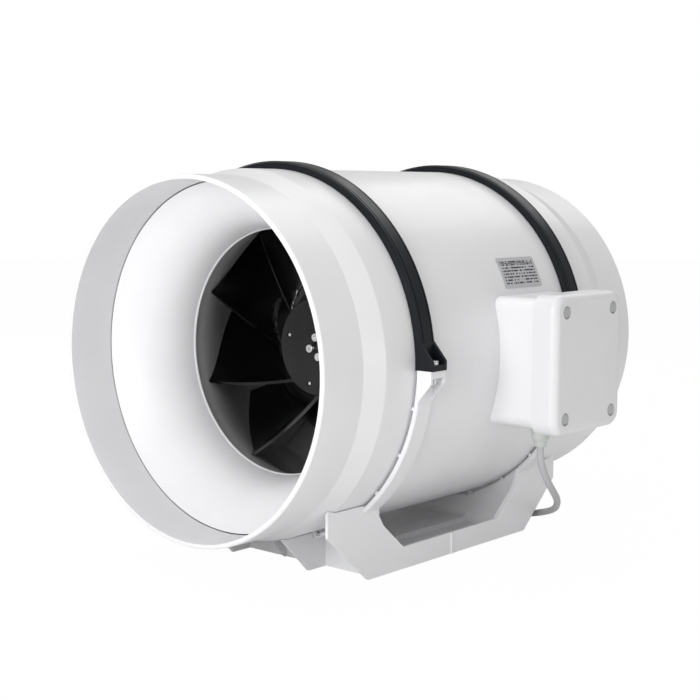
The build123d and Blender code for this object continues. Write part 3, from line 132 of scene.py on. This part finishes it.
# Control points stand a little outside the circle that their curve runs on.
half_step = math.pi / POINTS_PER_TURN
for k in range(COIL_TURNS * POINTS_PER_TURN):
    share = (k + 0.5) / POINTS_PER_TURN
    turn = math.pi - share * 2 * math.pi
    radius, height = coil_place(share)
    reach = radius / math.cos(half_step)
    cord_points.append(Vector((COIL_CENTRE.x + reach * math.cos(turn),
                               COIL_CENTRE.y + reach * math.sin(turn), height)))
cord_points += [Vector(p) / 1000 for p in route_plug]


def nurbs_line(name, points, radius):
    """A round tube on one open NURBS spline through the air near its points.

    The radius is on the points and the bevel is one metre, not the other way round,
    because the model's box counts each point with its own radius.
    """
    curve = bpy.data.curves.new(name, "CURVE")
    curve.dimensions = "3D"
    spline = curve.splines.new("NURBS")
    spline.points.add(len(points) - 1)
    for spot, point in zip(spline.points, points):
        spot.co = (*point, 1)
        spot.radius = radius
    spline.order_u = 3
    spline.use_endpoint_u = True
    spline.resolution_u = 6
    curve.bevel_depth = 1.0
    curve.bevel_resolution = 5
    curve.use_fill_caps = True
    line = bpy.data.objects.new(name, curve)
    scene.collection.objects.link(line)
    return line


supply_cord = nurbs_line("supply_lead", cord_points, CORD_R)
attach(supply_cord, "housing")
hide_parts("supply_cord", "cord_coil", "plug_cord")
print("cord has", len(cord_points), "points")

# %% [markdown]
# ## Finishes
# Nearly everything here is moulded plastic. Real mouldings are never one flat colour: the
# surface has a faint orange peel, the gloss wanders a little, and the colour drifts with
# the thickness of the wall. Each finish below mixes those from noise on object
# coordinates, so that the pattern stays on the piece when it turns.

# %% Helper for node materials
finishes = {}


def finish_nodes(name):
    """Start a material: its node tree, its shader and the piece's own coordinates."""
    material = bpy.data.materials.new(name)
    material.use_nodes = True
    tree = material.node_tree
    shader = tree.nodes["Principled BSDF"]
    coords = tree.nodes.new("ShaderNodeTexCoord").outputs["Object"]
    finishes[name] = material
    return tree, shader, coords


def noise(tree, coords, scale, detail=3.0, stretch=(1, 1, 1)):
    """Noise from object coordinates, stretched along an axis where asked."""
    mapping = tree.nodes.new("ShaderNodeMapping")
    mapping.inputs["Scale"].default_value = stretch
    tree.links.new(coords, mapping.inputs["Vector"])
    texture = tree.nodes.new("ShaderNodeTexNoise")
    texture.inputs["Scale"].default_value = scale
    texture.inputs["Detail"].default_value = detail
    tree.links.new(mapping.outputs["Vector"], texture.inputs["Vector"])
    return texture.outputs["Fac"]


def spread(tree, value, low, high):
    """Map noise from its middle range to low..high."""
    node = tree.nodes.new("ShaderNodeMapRange")
    node.inputs["From Min"].default_value = 0.3
    node.inputs["From Max"].default_value = 0.7
    node.inputs["To Min"].default_value = low
    node.inputs["To Max"].default_value = high
    tree.links.new(value, node.inputs["Value"])
    return node.outputs["Result"]


def drift(tree, value, colour_a, colour_b):
    """Let a colour drift between two values with noise."""
    ramp = tree.nodes.new("ShaderNodeValToRGB")
    ramp.color_ramp.elements[0].position = 0.35
    ramp.color_ramp.elements[1].position = 0.65
    ramp.color_ramp.elements[0].color = (*colour_a, 1)
    ramp.color_ramp.elements[1].color = (*colour_b, 1)
    tree.links.new(value, ramp.inputs["Fac"])
    return ramp.outputs["Color"]


def bumps(tree, shader, height, strength, distance):
    """Raise the surface a little where a height is high."""
    bump = tree.nodes.new("ShaderNodeBump")
    bump.inputs["Strength"].default_value = strength
    bump.inputs["Distance"].default_value = distance
    tree.links.new(height, bump.inputs["Height"])
    tree.links.new(bump.outputs["Normal"], shader.inputs["Normal"])


def moulded(name, colour, rough, grain=900.0, grain_depth=0.00002, contrast=0.02, gloss_wander=0.04):
    """Moulded plastic: faint grain, wandering gloss and a drift in colour."""
    tree, shader, coords = finish_nodes(name)
    slow = noise(tree, coords, 14.0)
    darker = tuple(max(c * (1 - contrast), 0) for c in colour)
    lighter = tuple(min(c * (1 + contrast / 2), 1) for c in colour)
    tree.links.new(drift(tree, slow, darker, lighter), shader.inputs["Base Color"])
    tree.links.new(spread(tree, noise(tree, coords, 40.0), rough - gloss_wander, rough + gloss_wander),
                   shader.inputs["Roughness"])
    bumps(tree, shader, noise(tree, coords, grain, detail=2.0), 0.25, grain_depth)


# %% Plastics
moulded("white_plastic", (0.79, 0.79, 0.80), 0.32)
moulded("bell_plastic", (0.80, 0.80, 0.81), 0.42)
moulded("base_plastic", (0.79, 0.79, 0.80), 0.36)
# The lid is the box's white plastic, made a shade darker as painted shade for its face, which gets less light than
# the box's sides.
moulded("shaded_lid_plastic", (0.74, 0.74, 0.75), 0.34)
moulded("strap_plastic", (0.007, 0.008, 0.011), 0.34, grain=700.0, contrast=0.2)
moulded("wheel_plastic", (0.0012, 0.0012, 0.0014), 0.14, grain=500.0, contrast=0.3, gloss_wander=0.06)
# The shroud is dark grey plastic; its colour is raised to a mid grey as painted light for the hollow inside the
# inlet, where the lamps reach little.
moulded("lightened_shroud_plastic", (0.37, 0.37, 0.37), 0.45, contrast=0.1)
moulded("vane_plastic", (0.30, 0.30, 0.31), 0.4)
moulded("cap_plastic", (0.44, 0.45, 0.44), 0.45)
moulded("gland_plastic", (0.50, 0.52, 0.50), 0.42)
moulded("cord_plastic", (0.43, 0.43, 0.44), 0.42, contrast=0.04)
moulded("tie_plastic", (0.74, 0.74, 0.75), 0.4)
moulded("black_plastic", (0.03, 0.03, 0.03), 0.4)
moulded("rubber", (0.05, 0.05, 0.05), 0.7)
DARK_GLOSS = {"strap_plastic": 0.24, "wheel_plastic": 0.4}      # filled plastics reflect less
for dark, level in DARK_GLOSS.items():
    finishes[dark].node_tree.nodes["Principled BSDF"].inputs["Specular IOR Level"].default_value = level
print(len(finishes), "plastics")

# %% [markdown]
# ## Metals
# Most screws are zinc plated, the shaft, its bearings and the wheel's screws are bright
# steel, the motor's cores are dull stacks of sheet, and its shell is cast aluminium. A
# metal's colour is its reflection, so most of the work is in the roughness: fine streaks
# along the turning for the steel, a coarser sand grain for the casting.


# %% Helper for metals
def metal(name, colour, rough, streak=(1, 1, 1), scale=300.0, depth=0.00001):
    """A metal whose roughness and bumps follow one fine noise, stretched into streaks."""
    tree, shader, coords = finish_nodes(name)
    shader.inputs["Metallic"].default_value = 1.0
    slow = noise(tree, coords, 60.0)
    darker = tuple(c * 0.88 for c in colour)
    tree.links.new(drift(tree, slow, darker, colour), shader.inputs["Base Color"])
    fine = noise(tree, coords, scale, stretch=streak)
    tree.links.new(spread(tree, fine, rough - 0.07, rough + 0.1), shader.inputs["Roughness"])
    bumps(tree, shader, fine, 0.3, depth)


metal("bright_steel", (0.78, 0.78, 0.78), 0.2, streak=(1, 6, 6))
metal("zinc_steel", (0.66, 0.67, 0.70), 0.3)
metal("cast_alloy", (0.58, 0.59, 0.60), 0.45, scale=500.0, depth=0.00004)
metal("core_steel", (0.30, 0.30, 0.31), 0.5, streak=(40, 1, 1))
metal("copper_wire", (0.72, 0.36, 0.20), 0.35, streak=(1, 20, 20))
print(len(finishes), "finishes with the metals")

# %% [markdown]
# ## The rating plate's print
# A rating plate is thin foil with dark print. Its rows follow the plate, so they are drawn
# on the plate's own UV map: the height is cut into rows, a band is kept in each, and noise
# along the row breaks it into dashes. It stays a pattern, with no words in it.

# %% Foil with ruled print
PRINT_ROWS = 10.0
BAND_HALF = 0.24           # half of a printed band, as a share of its row
DASHES = 30.0              # noise cells along a row
DASH_FROM = 0.47           # noise above this is ink
ROW_SHIFT = 7.3            # moves the noise from row to row, so that no two are alike
MARGINS = (0.44, 0.42)     # half of the printed area, across and up
RULE_AT, RULE_HALF = 0.80, 0.012
FOIL_TONE = (0.56, 0.56, 0.57, 1)
INK_TONE = (0.02, 0.02, 0.025, 1)


def maths(tree, operation, *values):
    """One Math node on sockets or plain numbers."""
    node = tree.nodes.new("ShaderNodeMath")
    node.operation = operation
    for place, value in zip(node.inputs, values):
        if isinstance(value, float):
            place.default_value = value
        else:
            tree.links.new(value, place)
    return node.outputs[0]


tree, shader, coords = finish_nodes("plate_foil")
print_map = tree.nodes.new("ShaderNodeUVMap")
print_map.uv_map = "print"
apart = tree.nodes.new("ShaderNodeSeparateXYZ")
tree.links.new(print_map.outputs["UV"], apart.inputs[0])
across_plate, up_plate = apart.outputs[0], apart.outputs[1]
rows = maths(tree, "MULTIPLY", up_plate, PRINT_ROWS)
band = maths(tree, "COMPARE", maths(tree, "FRACT", rows), 0.5, BAND_HALF)
together = tree.nodes.new("ShaderNodeCombineXYZ")
tree.links.new(maths(tree, "MULTIPLY", across_plate, DASHES), together.inputs[0])
tree.links.new(maths(tree, "MULTIPLY", maths(tree, "FLOOR", rows), ROW_SHIFT), together.inputs[1])
dashes = maths(tree, "GREATER_THAN", noise(tree, together.outputs[0], 1.0, detail=1.0), DASH_FROM)
margin = maths(tree, "MULTIPLY", maths(tree, "COMPARE", across_plate, 0.5, MARGINS[0]),
               maths(tree, "COMPARE", up_plate, 0.5, MARGINS[1]))
rule = maths(tree, "COMPARE", up_plate, RULE_AT, RULE_HALF)
ink = maths(tree, "MULTIPLY", maths(tree, "MAXIMUM", maths(tree, "MULTIPLY", band, dashes), rule), margin)
tone = tree.nodes.new("ShaderNodeMix")
tone.data_type = "RGBA"
tone.inputs["A"].default_value = FOIL_TONE
tone.inputs["B"].default_value = INK_TONE
tree.links.new(ink, tone.inputs["Factor"])
tree.links.new(tone.outputs["Result"], shader.inputs["Base Color"])
tree.links.new(spread(tree, noise(tree, coords, 300.0, stretch=(1, 12, 12)), 0.32, 0.46),
               shader.inputs["Roughness"])
shader.inputs["Metallic"].default_value = 0.25
print("plate print in", int(PRINT_ROWS), "rows")

# %% [markdown]
# ## Which finish goes where
# A maker's parts list names one material for each piece, and this list does the same. The
# solids that keep their shape get their finish at once, and the ones that are modelled
# again below look theirs up here.

# %% Give the solids their finishes
FINISH_OF = {
    "white_plastic": ["inlet_collar", "outlet_collar", "fan_casing", "terminal_box"],
    "bell_plastic": ["inlet_bellmouth"],
    "base_plastic": ["mounting_base"],
    "shaded_lid_plastic": ["terminal_box_lid"],
    "strap_plastic": ["front_clamp_strap", "rear_clamp_strap"],
    "wheel_plastic": ["impeller"],
    "lightened_shroud_plastic": ["impeller_shroud"],
    "vane_plastic": ["guide_vanes", "tail_cone"],
    "cap_plastic": ["screw_caps"],
    "gland_plastic": ["cable_gland", "gland_nut", "gland_locknut"],
    "cord_plastic": ["cord_entry", "motor_lead", "cord_plug", "supply_cord", "cord_coil", "plug_cord"],
    "black_plastic": ["terminal_block", "run_capacitor"],
    "rubber": ["inlet_gasket", "outlet_gasket", "lid_gasket", "lead_grommet"],
    "bright_steel": ["motor_shaft", "hub_screws", "balance_screws", "front_bearing", "rear_bearing"],
    "zinc_steel": ["clamp_screws", "clamp_nuts", "lid_screws", "box_fixing_screws",
                   "motor_screws", "impeller_bush"],
    "cast_alloy": ["motor_shell", "motor_front_shield"],
    "core_steel": ["rotor_core", "stator_core"],
    "copper_wire": ["stator_windings"],
    "plate_foil": ["rating_plate"],
}
FINISH_FOR = {name: finish for finish, names in FINISH_OF.items() for name in names}
for name, finish in FINISH_FOR.items():
    for place in frame["nodes"][name].material_slots:
        place.material = finishes[finish]
supply_cord.data.materials.append(finishes["cord_plastic"])
print(len(FINISH_FOR), "solids finished")

# %% [markdown]
# ## Rounded edges
# No moulded or cast piece has a truly sharp edge: a radius of a few tenths of a
# millimetre catches the light as a thin bright line, and without it a render looks like
# paper. The solids come as loose triangles, so a copy is merged, its flat faces are made
# whole, and only then are the outward edges bevelled. Weighted normals keep the wide
# faces flat beside the narrow rounding.

# %% Helpers that put a piece on the fan
AXIS_Z = frame["joints"][0]["pos_m"][2]
ROTOR = frame["record"]["behaviour"]["bodies"]["rotor"]
DISH_RIM = 0.0011              # flat rim left round a dished cap


def add_piece(name, mesh, finish, body, nodes=(), smooth_under=32.0):
    """Make an object from a finished bmesh, on the body that carries it."""
    data = bpy.data.meshes.new(name)
    mesh.to_mesh(data)
    mesh.free()
    data.materials.clear()
    data.materials.append(finishes[finish])
    data.shade_smooth()
    data.set_sharp_from_angle(angle=math.radians(smooth_under))
    piece = bpy.data.objects.new(name, data)
    scene.collection.objects.link(piece)
    weighted = piece.modifiers.new("even shading", "WEIGHTED_NORMAL")
    weighted.keep_sharp = True
    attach(piece, body)
    if nodes:
        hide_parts(*nodes)
    return piece


def rounded(node, width, segments=2, corner=28.0, dish=0.0):
    """Stand a merged copy of a solid, with its outward edges rounded, in its place.

    A dish sinks the middle of the wide faces that look to the box's side.
    """
    mesh = bmesh.new()
    mesh.from_mesh(frame["nodes"][node].data)
    bmesh.ops.remove_doubles(mesh, verts=mesh.verts, dist=1e-6)
    bmesh.ops.dissolve_limit(mesh, angle_limit=math.radians(0.5), verts=mesh.verts, edges=mesh.edges)
    if dish:
        front = min(vert.co.y for vert in mesh.verts)
        wide = [face for face in mesh.faces if abs(face.calc_center_median().y - front) < 1e-5]
        bmesh.ops.inset_individual(mesh, faces=wide, thickness=DISH_RIM, depth=-dish)
    edges = [edge for edge in mesh.edges if edge.is_manifold and edge.is_convex
             and edge.calc_face_angle(0) > math.radians(corner)]
    bmesh.ops.bevel(mesh, geom=edges, offset=width, offset_type="OFFSET", segments=segments,
                    profile=0.5, affect="EDGES", clamp_overlap=True, material=-1)
    body = "rotor" if node in ROTOR else "housing"
    return add_piece("finished_" + node, mesh, FINISH_FOR[node], body, nodes=(node,))


# %% Round the moulded and the turned pieces
ROUNDING = {
    "mounting_base": (0.0005, 2),
    "front_clamp_strap": (0.0005, 2),
    "rear_clamp_strap": (0.0005, 2),
    "fan_casing": (0.0004, 2),
    "terminal_box": (0.0006, 2),
    "impeller": (0.0006, 4),
    "hub_screws": (0.0003, 2),
    "gland_nut": (0.0003, 2),
}                                  # width of the rounding, and its segments
for node, (width, segments) in ROUNDING.items():
    piece = rounded(node, width, segments)
    print(node, len(piece.data.polygons), "faces")
caps = rounded("screw_caps", 0.00025, dish=0.0005)
print("caps", len(caps.data.polygons), "faces")

# %% [markdown]
# ## The plug and the tie
# The lead ends in a moulded plug with steel pins, and the spare length is held by a tie, as
# a new fan's lead is. The plug keeps its solid's shape with soft edges, and the faces of
# its pins take steel. The tie is a flat strip wound once round the bundle: a box with its
# ends open, given a wall that bites a little into the soft cord.

# %% Finish the plug
PIN_FROM_Y = 0.1642            # the pins start where the plug's body ends
plug = rounded("cord_plug", 0.0008, segments=3)
plug.data.materials.append(finishes["bright_steel"])
for face in plug.data.polygons:
    if face.center.y > PIN_FROM_Y:
        face.material_index = 1
print("plug", len(plug.data.polygons), "faces")

# %% Wind the tie and hold the cord to its length
TIE_WIDE, TIE_WALL = 0.004, 0.0009
TIE_BITE = (0.0004, 0.0003)    # how much the cord gives, across and up
TIE_Z = 0.0067                 # middle of the two layers of cord
TIE_AT = Vector((COIL_CENTRE.x, COIL_CENTRE.y - sum(COIL_RADII[::2]) / 2, TIE_Z))
bundle = (TIE_WIDE, COIL_RADII[0] - COIL_RADII[-1] + 2 * CORD_R - TIE_BITE[0], 4 * CORD_R - TIE_BITE[1])
mesh = bmesh.new()
bmesh.ops.create_cube(mesh, size=1.0)
bmesh.ops.scale(mesh, verts=mesh.verts, vec=bundle)
ends = [face for face in mesh.faces if abs(face.normal.x) > 0.9]
bmesh.ops.delete(mesh, geom=ends, context="FACES_ONLY")
corners = [edge for edge in mesh.edges if abs(edge.verts[0].co.x - edge.verts[1].co.x) > 1e-6]
bmesh.ops.bevel(mesh, geom=corners, offset=CORD_R, offset_type="OFFSET", segments=6, profile=0.5,
                affect="EDGES", clamp_overlap=True, material=-1)
# An open strip has no inside, so its faces are turned outwards before it gets its wall.
bmesh.ops.recalc_face_normals(mesh, faces=mesh.faces)
if mesh.faces[0].normal.dot(mesh.faces[0].calc_center_median()) < 0:
    bmesh.ops.reverse_faces(mesh, faces=mesh.faces)
bmesh.ops.solidify(mesh, geom=mesh.faces[:], thickness=TIE_WALL)
bmesh.ops.translate(mesh, verts=mesh.verts, vec=TIE_AT)
tie = add_piece("coil_tie", mesh, "tie_plastic", "housing")
print("tie round", [round(v * 1000, 1) for v in bundle], "mm")

# %% [markdown]
# ## The rating plate
# The plate is a strip of foil glued round the body, with rounded corners. It starts as one
# flat face at full size: its corners are bevelled, it is cut into strips so that it can
# bend, and after its thickness is added each point is laid round the body's radius.

# %% Bend the plate
PLATE_X = (0.0175, 0.0760)
PLATE_ANGLES = (20.5, 30.9)        # above the level of the axis, on the box's side
PLATE_R = 0.16358
PLATE_FOIL = 0.00034
PLATE_CORNER = 0.0024
PLATE_STRIPS = 12
plate_wide = PLATE_X[1] - PLATE_X[0]
plate_tall = math.radians(PLATE_ANGLES[1] - PLATE_ANGLES[0]) * PLATE_R
mesh = bmesh.new()
print_uv = mesh.loops.layers.uv.new("print")
bmesh.ops.create_grid(mesh, x_segments=1, y_segments=1, size=0.5)
bmesh.ops.scale(mesh, verts=mesh.verts, vec=(plate_wide, plate_tall, 1))
bmesh.ops.bevel(mesh, geom=mesh.verts[:], offset=PLATE_CORNER, offset_type="OFFSET", segments=5,
                profile=0.5, affect="VERTICES", clamp_overlap=True, material=-1)
for k in range(1, PLATE_STRIPS):
    cut_y = (k / PLATE_STRIPS - 0.5) * plate_tall
    bmesh.ops.bisect_plane(mesh, geom=mesh.verts[:] + mesh.edges[:] + mesh.faces[:],
                           plane_co=(0, cut_y, 0), plane_no=(0, 1, 0))
for face in mesh.faces:
    for loop in face.loops:
        loop[print_uv].uv = (loop.vert.co.x / plate_wide + 0.5, loop.vert.co.y / plate_tall + 0.5)
bmesh.ops.solidify(mesh, geom=mesh.faces[:], thickness=PLATE_FOIL)
low_z = min(vert.co.z for vert in mesh.verts)
for vert in mesh.verts:
    angle = math.radians(sum(PLATE_ANGLES) / 2) + vert.co.y / PLATE_R
    reach = PLATE_R + vert.co.z - low_z
    vert.co = (sum(PLATE_X) / 2 + vert.co.x, -reach * math.cos(angle), AXIS_Z + reach * math.sin(angle))
bmesh.ops.recalc_face_normals(mesh, faces=mesh.faces)
plate = add_piece("rating_foil", mesh, "plate_foil", "housing", nodes=("rating_plate",))
print("plate", round(plate_wide * 1000, 1), "by", round(plate_tall * 1000, 1), "mm")

# %% [markdown]
# ## The collars
# A collar is a turned form: a straight spigot for the duct, a short cone that widens to
# the body, and a flange in the clamp ring. A lathe profile spun about the fan's axis is
# the natural way, and the corners are bevelled after the spin, where each one is a ring
# of edges.

# %% Helper that spins a profile
SPIN_STEPS = 192


def spun(profile):
    """Turn a closed outline of (x, radius) in millimetres once round the fan's axis."""
    mesh = bmesh.new()
    corners = [mesh.verts.new((x / 1000, 0, AXIS_Z + r / 1000)) for x, r in profile]
    line = [mesh.edges.new(pair) for pair in zip(corners, corners[1:] + corners[:1])]
    bmesh.ops.spin(mesh, geom=corners + line, cent=(0, 0, AXIS_Z), axis=(1, 0, 0), dvec=(0, 0, 0),
                   angle=2 * math.pi, steps=SPIN_STEPS, use_merge=True, use_duplicate=False)
    bmesh.ops.remove_doubles(mesh, verts=mesh.verts, dist=1e-6)
    bmesh.ops.recalc_face_normals(mesh, faces=mesh.faces)
    return mesh


def ring_bevel(mesh, width, corner=12.0, segments=3):
    """Round the ring edges of a spun mesh."""
    rings = [edge for edge in mesh.edges if edge.is_manifold
             and edge.calc_face_angle(0) > math.radians(corner)
             and abs(edge.verts[0].co.x - edge.verts[1].co.x) < 1e-6]
    bmesh.ops.bevel(mesh, geom=rings, offset=width, offset_type="OFFSET", segments=segments,
                    profile=0.5, affect="EDGES", clamp_overlap=True, material=-1)


# %% Spin the collars
COLLAR_EDGE = 0.0007
COLLAR_OUTLINE = [
    (230.0, 153.8), (230.0, 156.8), (228.8, 158.0), (183.5, 158.0), (161.5, 163.5), (119.6, 163.5),
    (119.6, 167.0), (116.0, 167.0), (116.0, 160.5), (162.5, 160.5), (184.5, 153.8),
]
for node, side in (("inlet_collar", -1), ("outlet_collar", 1)):
    mesh = spun([(side * x, r) for x, r in COLLAR_OUTLINE])
    ring_bevel(mesh, COLLAR_EDGE)
    piece = add_piece("finished_" + node, mesh, "white_plastic", "housing", nodes=(node,))
    print(node, len(piece.data.polygons), "faces")

# %% [markdown]
# ## The bell mouth
# Inside the inlet collar a smooth funnel leads the air to the wheel's eye. Its curve is
# one Bezier from the collar's wall to the throat, spun into a surface and given its wall.
# The throat ends in a small rolled bead, which stiffens the edge and shows as a fine ring
# of light in front of the dark wheel.

# %% Spin the bell mouth
EYE_R = 111.5
BELL_WALL = 2.2
BEAD = 0.9
BELL_POINTS = 32
bell_line = interpolate_bezier(Vector((-184.0, 153.1)), Vector((-167.0, 133.55)),
                               Vector((-151.8, EYE_R)), Vector((-114.8, EYE_R)), BELL_POINTS)
inner = [(point.x, point.y) for point in bell_line]
bell_outline = inner[:-1] + [
    (-118.4, EYE_R), (-117.6, EYE_R - 0.6 * BEAD), (-116.6, EYE_R - BEAD), (-115.7, EYE_R - 0.6 * BEAD),
    (-114.9, EYE_R + 0.1), (-114.9, EYE_R + BELL_WALL),
]
bell_outline += [(x + 1.1, r + BELL_WALL * 0.85) for x, r in reversed(inner[3:-3])]
bell_outline += [(-182.0, 153.15), (-183.5, 153.2)]
mesh = spun(bell_outline)
bellmouth = add_piece("bell_mouth", mesh, "bell_plastic", "housing", nodes=("inlet_bellmouth",),
                      smooth_under=50.0)
print("bell mouth", len(bellmouth.data.polygons), "faces")

# %% [markdown]
# ## Floor, backdrop and light
# The floor and the world behind it look plain white to the camera, and softer to
# everything else, so the white mouldings keep their shading. Six soft lamps stand round
# the fan as they would in a small studio. The key lamp and the inlet lamp light the inlet,
# the top lamp draws the long highlights along the body, the low lamp opens the shade in
# the base, and the back and far lamps keep the outlet and the plain side from going grey.


# %% Floor and world
def seen_white(tree, lit, share):
    """Mix a lit shader with plain white for what the camera sees, straight or through glass."""
    path = tree.nodes.new("ShaderNodeLightPath")
    white = tree.nodes.new("ShaderNodeEmission")
    white.inputs["Strength"].default_value = 1.0
    add = tree.nodes.new("ShaderNodeMath")
    add.operation = "MAXIMUM"
    tree.links.new(path.outputs["Is Camera Ray"], add.inputs[0])
    tree.links.new(path.outputs["Is Transmission Ray"], add.inputs[1])
    scale = tree.nodes.new("ShaderNodeMath")
    scale.operation = "MULTIPLY"
    scale.inputs[1].default_value = share
    tree.links.new(add.outputs[0], scale.inputs[0])
    mix = tree.nodes.new("ShaderNodeMixShader")
    tree.links.new(scale.outputs[0], mix.inputs["Fac"])
    tree.links.new(lit.outputs[0], mix.inputs[1])
    tree.links.new(white.outputs[0], mix.inputs[2])
    return mix


FLOOR_REACH = 6.0
FLOOR_WHITE = 0.98         # the rest stays lit, so that the fan has a faint shadow
TENT_LIGHT = 0.45
floor_mesh = bmesh.new()
bmesh.ops.create_circle(floor_mesh, cap_ends=True, segments=64, radius=FLOOR_REACH)
floor_data = bpy.data.meshes.new("floor")
floor_mesh.to_mesh(floor_data)
floor = bpy.data.objects.new("floor", floor_data)
scene.collection.objects.link(floor)
floor_material = bpy.data.materials.new("floor")
floor_material.use_nodes = True
floor_tree = floor_material.node_tree
floor_tree.nodes.remove(floor_tree.nodes["Principled BSDF"])
diffuse = floor_tree.nodes.new("ShaderNodeBsdfDiffuse")
diffuse.inputs["Color"].default_value = (0.92, 0.92, 0.92, 1)
floor_tree.links.new(seen_white(floor_tree, diffuse, FLOOR_WHITE).outputs[0],
                     floor_tree.nodes["Material Output"].inputs["Surface"])
floor_data.materials.append(floor_material)

world = bpy.data.worlds.new("light_tent")
world.use_nodes = True
scene.world = world
world_tree = world.node_tree
tent = world_tree.nodes["Background"]
tent.inputs["Color"].default_value = (1, 1, 1, 1)
tent.inputs["Strength"].default_value = TENT_LIGHT
world_tree.links.new(seen_white(world_tree, tent, 1.0).outputs[0],
                     world_tree.nodes["World Output"].inputs["Surface"])
print("floor of", 2 * FLOOR_REACH, "m under a tent of light")


# %% Lamps
def soft_lamp(name, place, target, size, power):
    """A square area lamp at a place, turned to a target."""
    lamp = bpy.data.lights.new(name, "AREA")
    lamp.shape = "SQUARE"
    lamp.size = size
    lamp.energy = power
    body = bpy.data.objects.new(name, lamp)
    scene.collection.objects.link(body)
    body.location = place
    body.rotation_mode = "QUATERNION"
    body.rotation_quaternion = (Vector(target) - Vector(place)).to_track_quat("-Z", "Y")


MIDDLE = (0.0, 0.0, AXIS_Z)
BASE = (0.0, -0.05, 0.05)
LAMPS = {                  # place, target, size in metres, power in watts
    "key_lamp": ((-2.0, -0.8, 0.75), MIDDLE, 1.2, 16.0),
    "inlet_lamp": ((-1.4, -0.3, 0.45), MIDDLE, 0.4, 4.8),
    "top_lamp": ((-0.2, 0.2, 2.0), MIDDLE, 1.6, 12.0),
    "low_lamp": ((0.15, -1.3, 0.16), BASE, 0.5, 0.9),
    "back_lamp": ((1.5, 0.3, 1.7), MIDDLE, 1.2, 7.0),
    "far_lamp": ((0.1, 1.9, 0.9), MIDDLE, 1.4, 9.0),
}
for name, (place, target, size, power) in LAMPS.items():
    soft_lamp(name, place, target, size, power)
print(len(LAMPS), "lamps,", round(sum(row[3] for row in LAMPS.values()), 1), "W together")
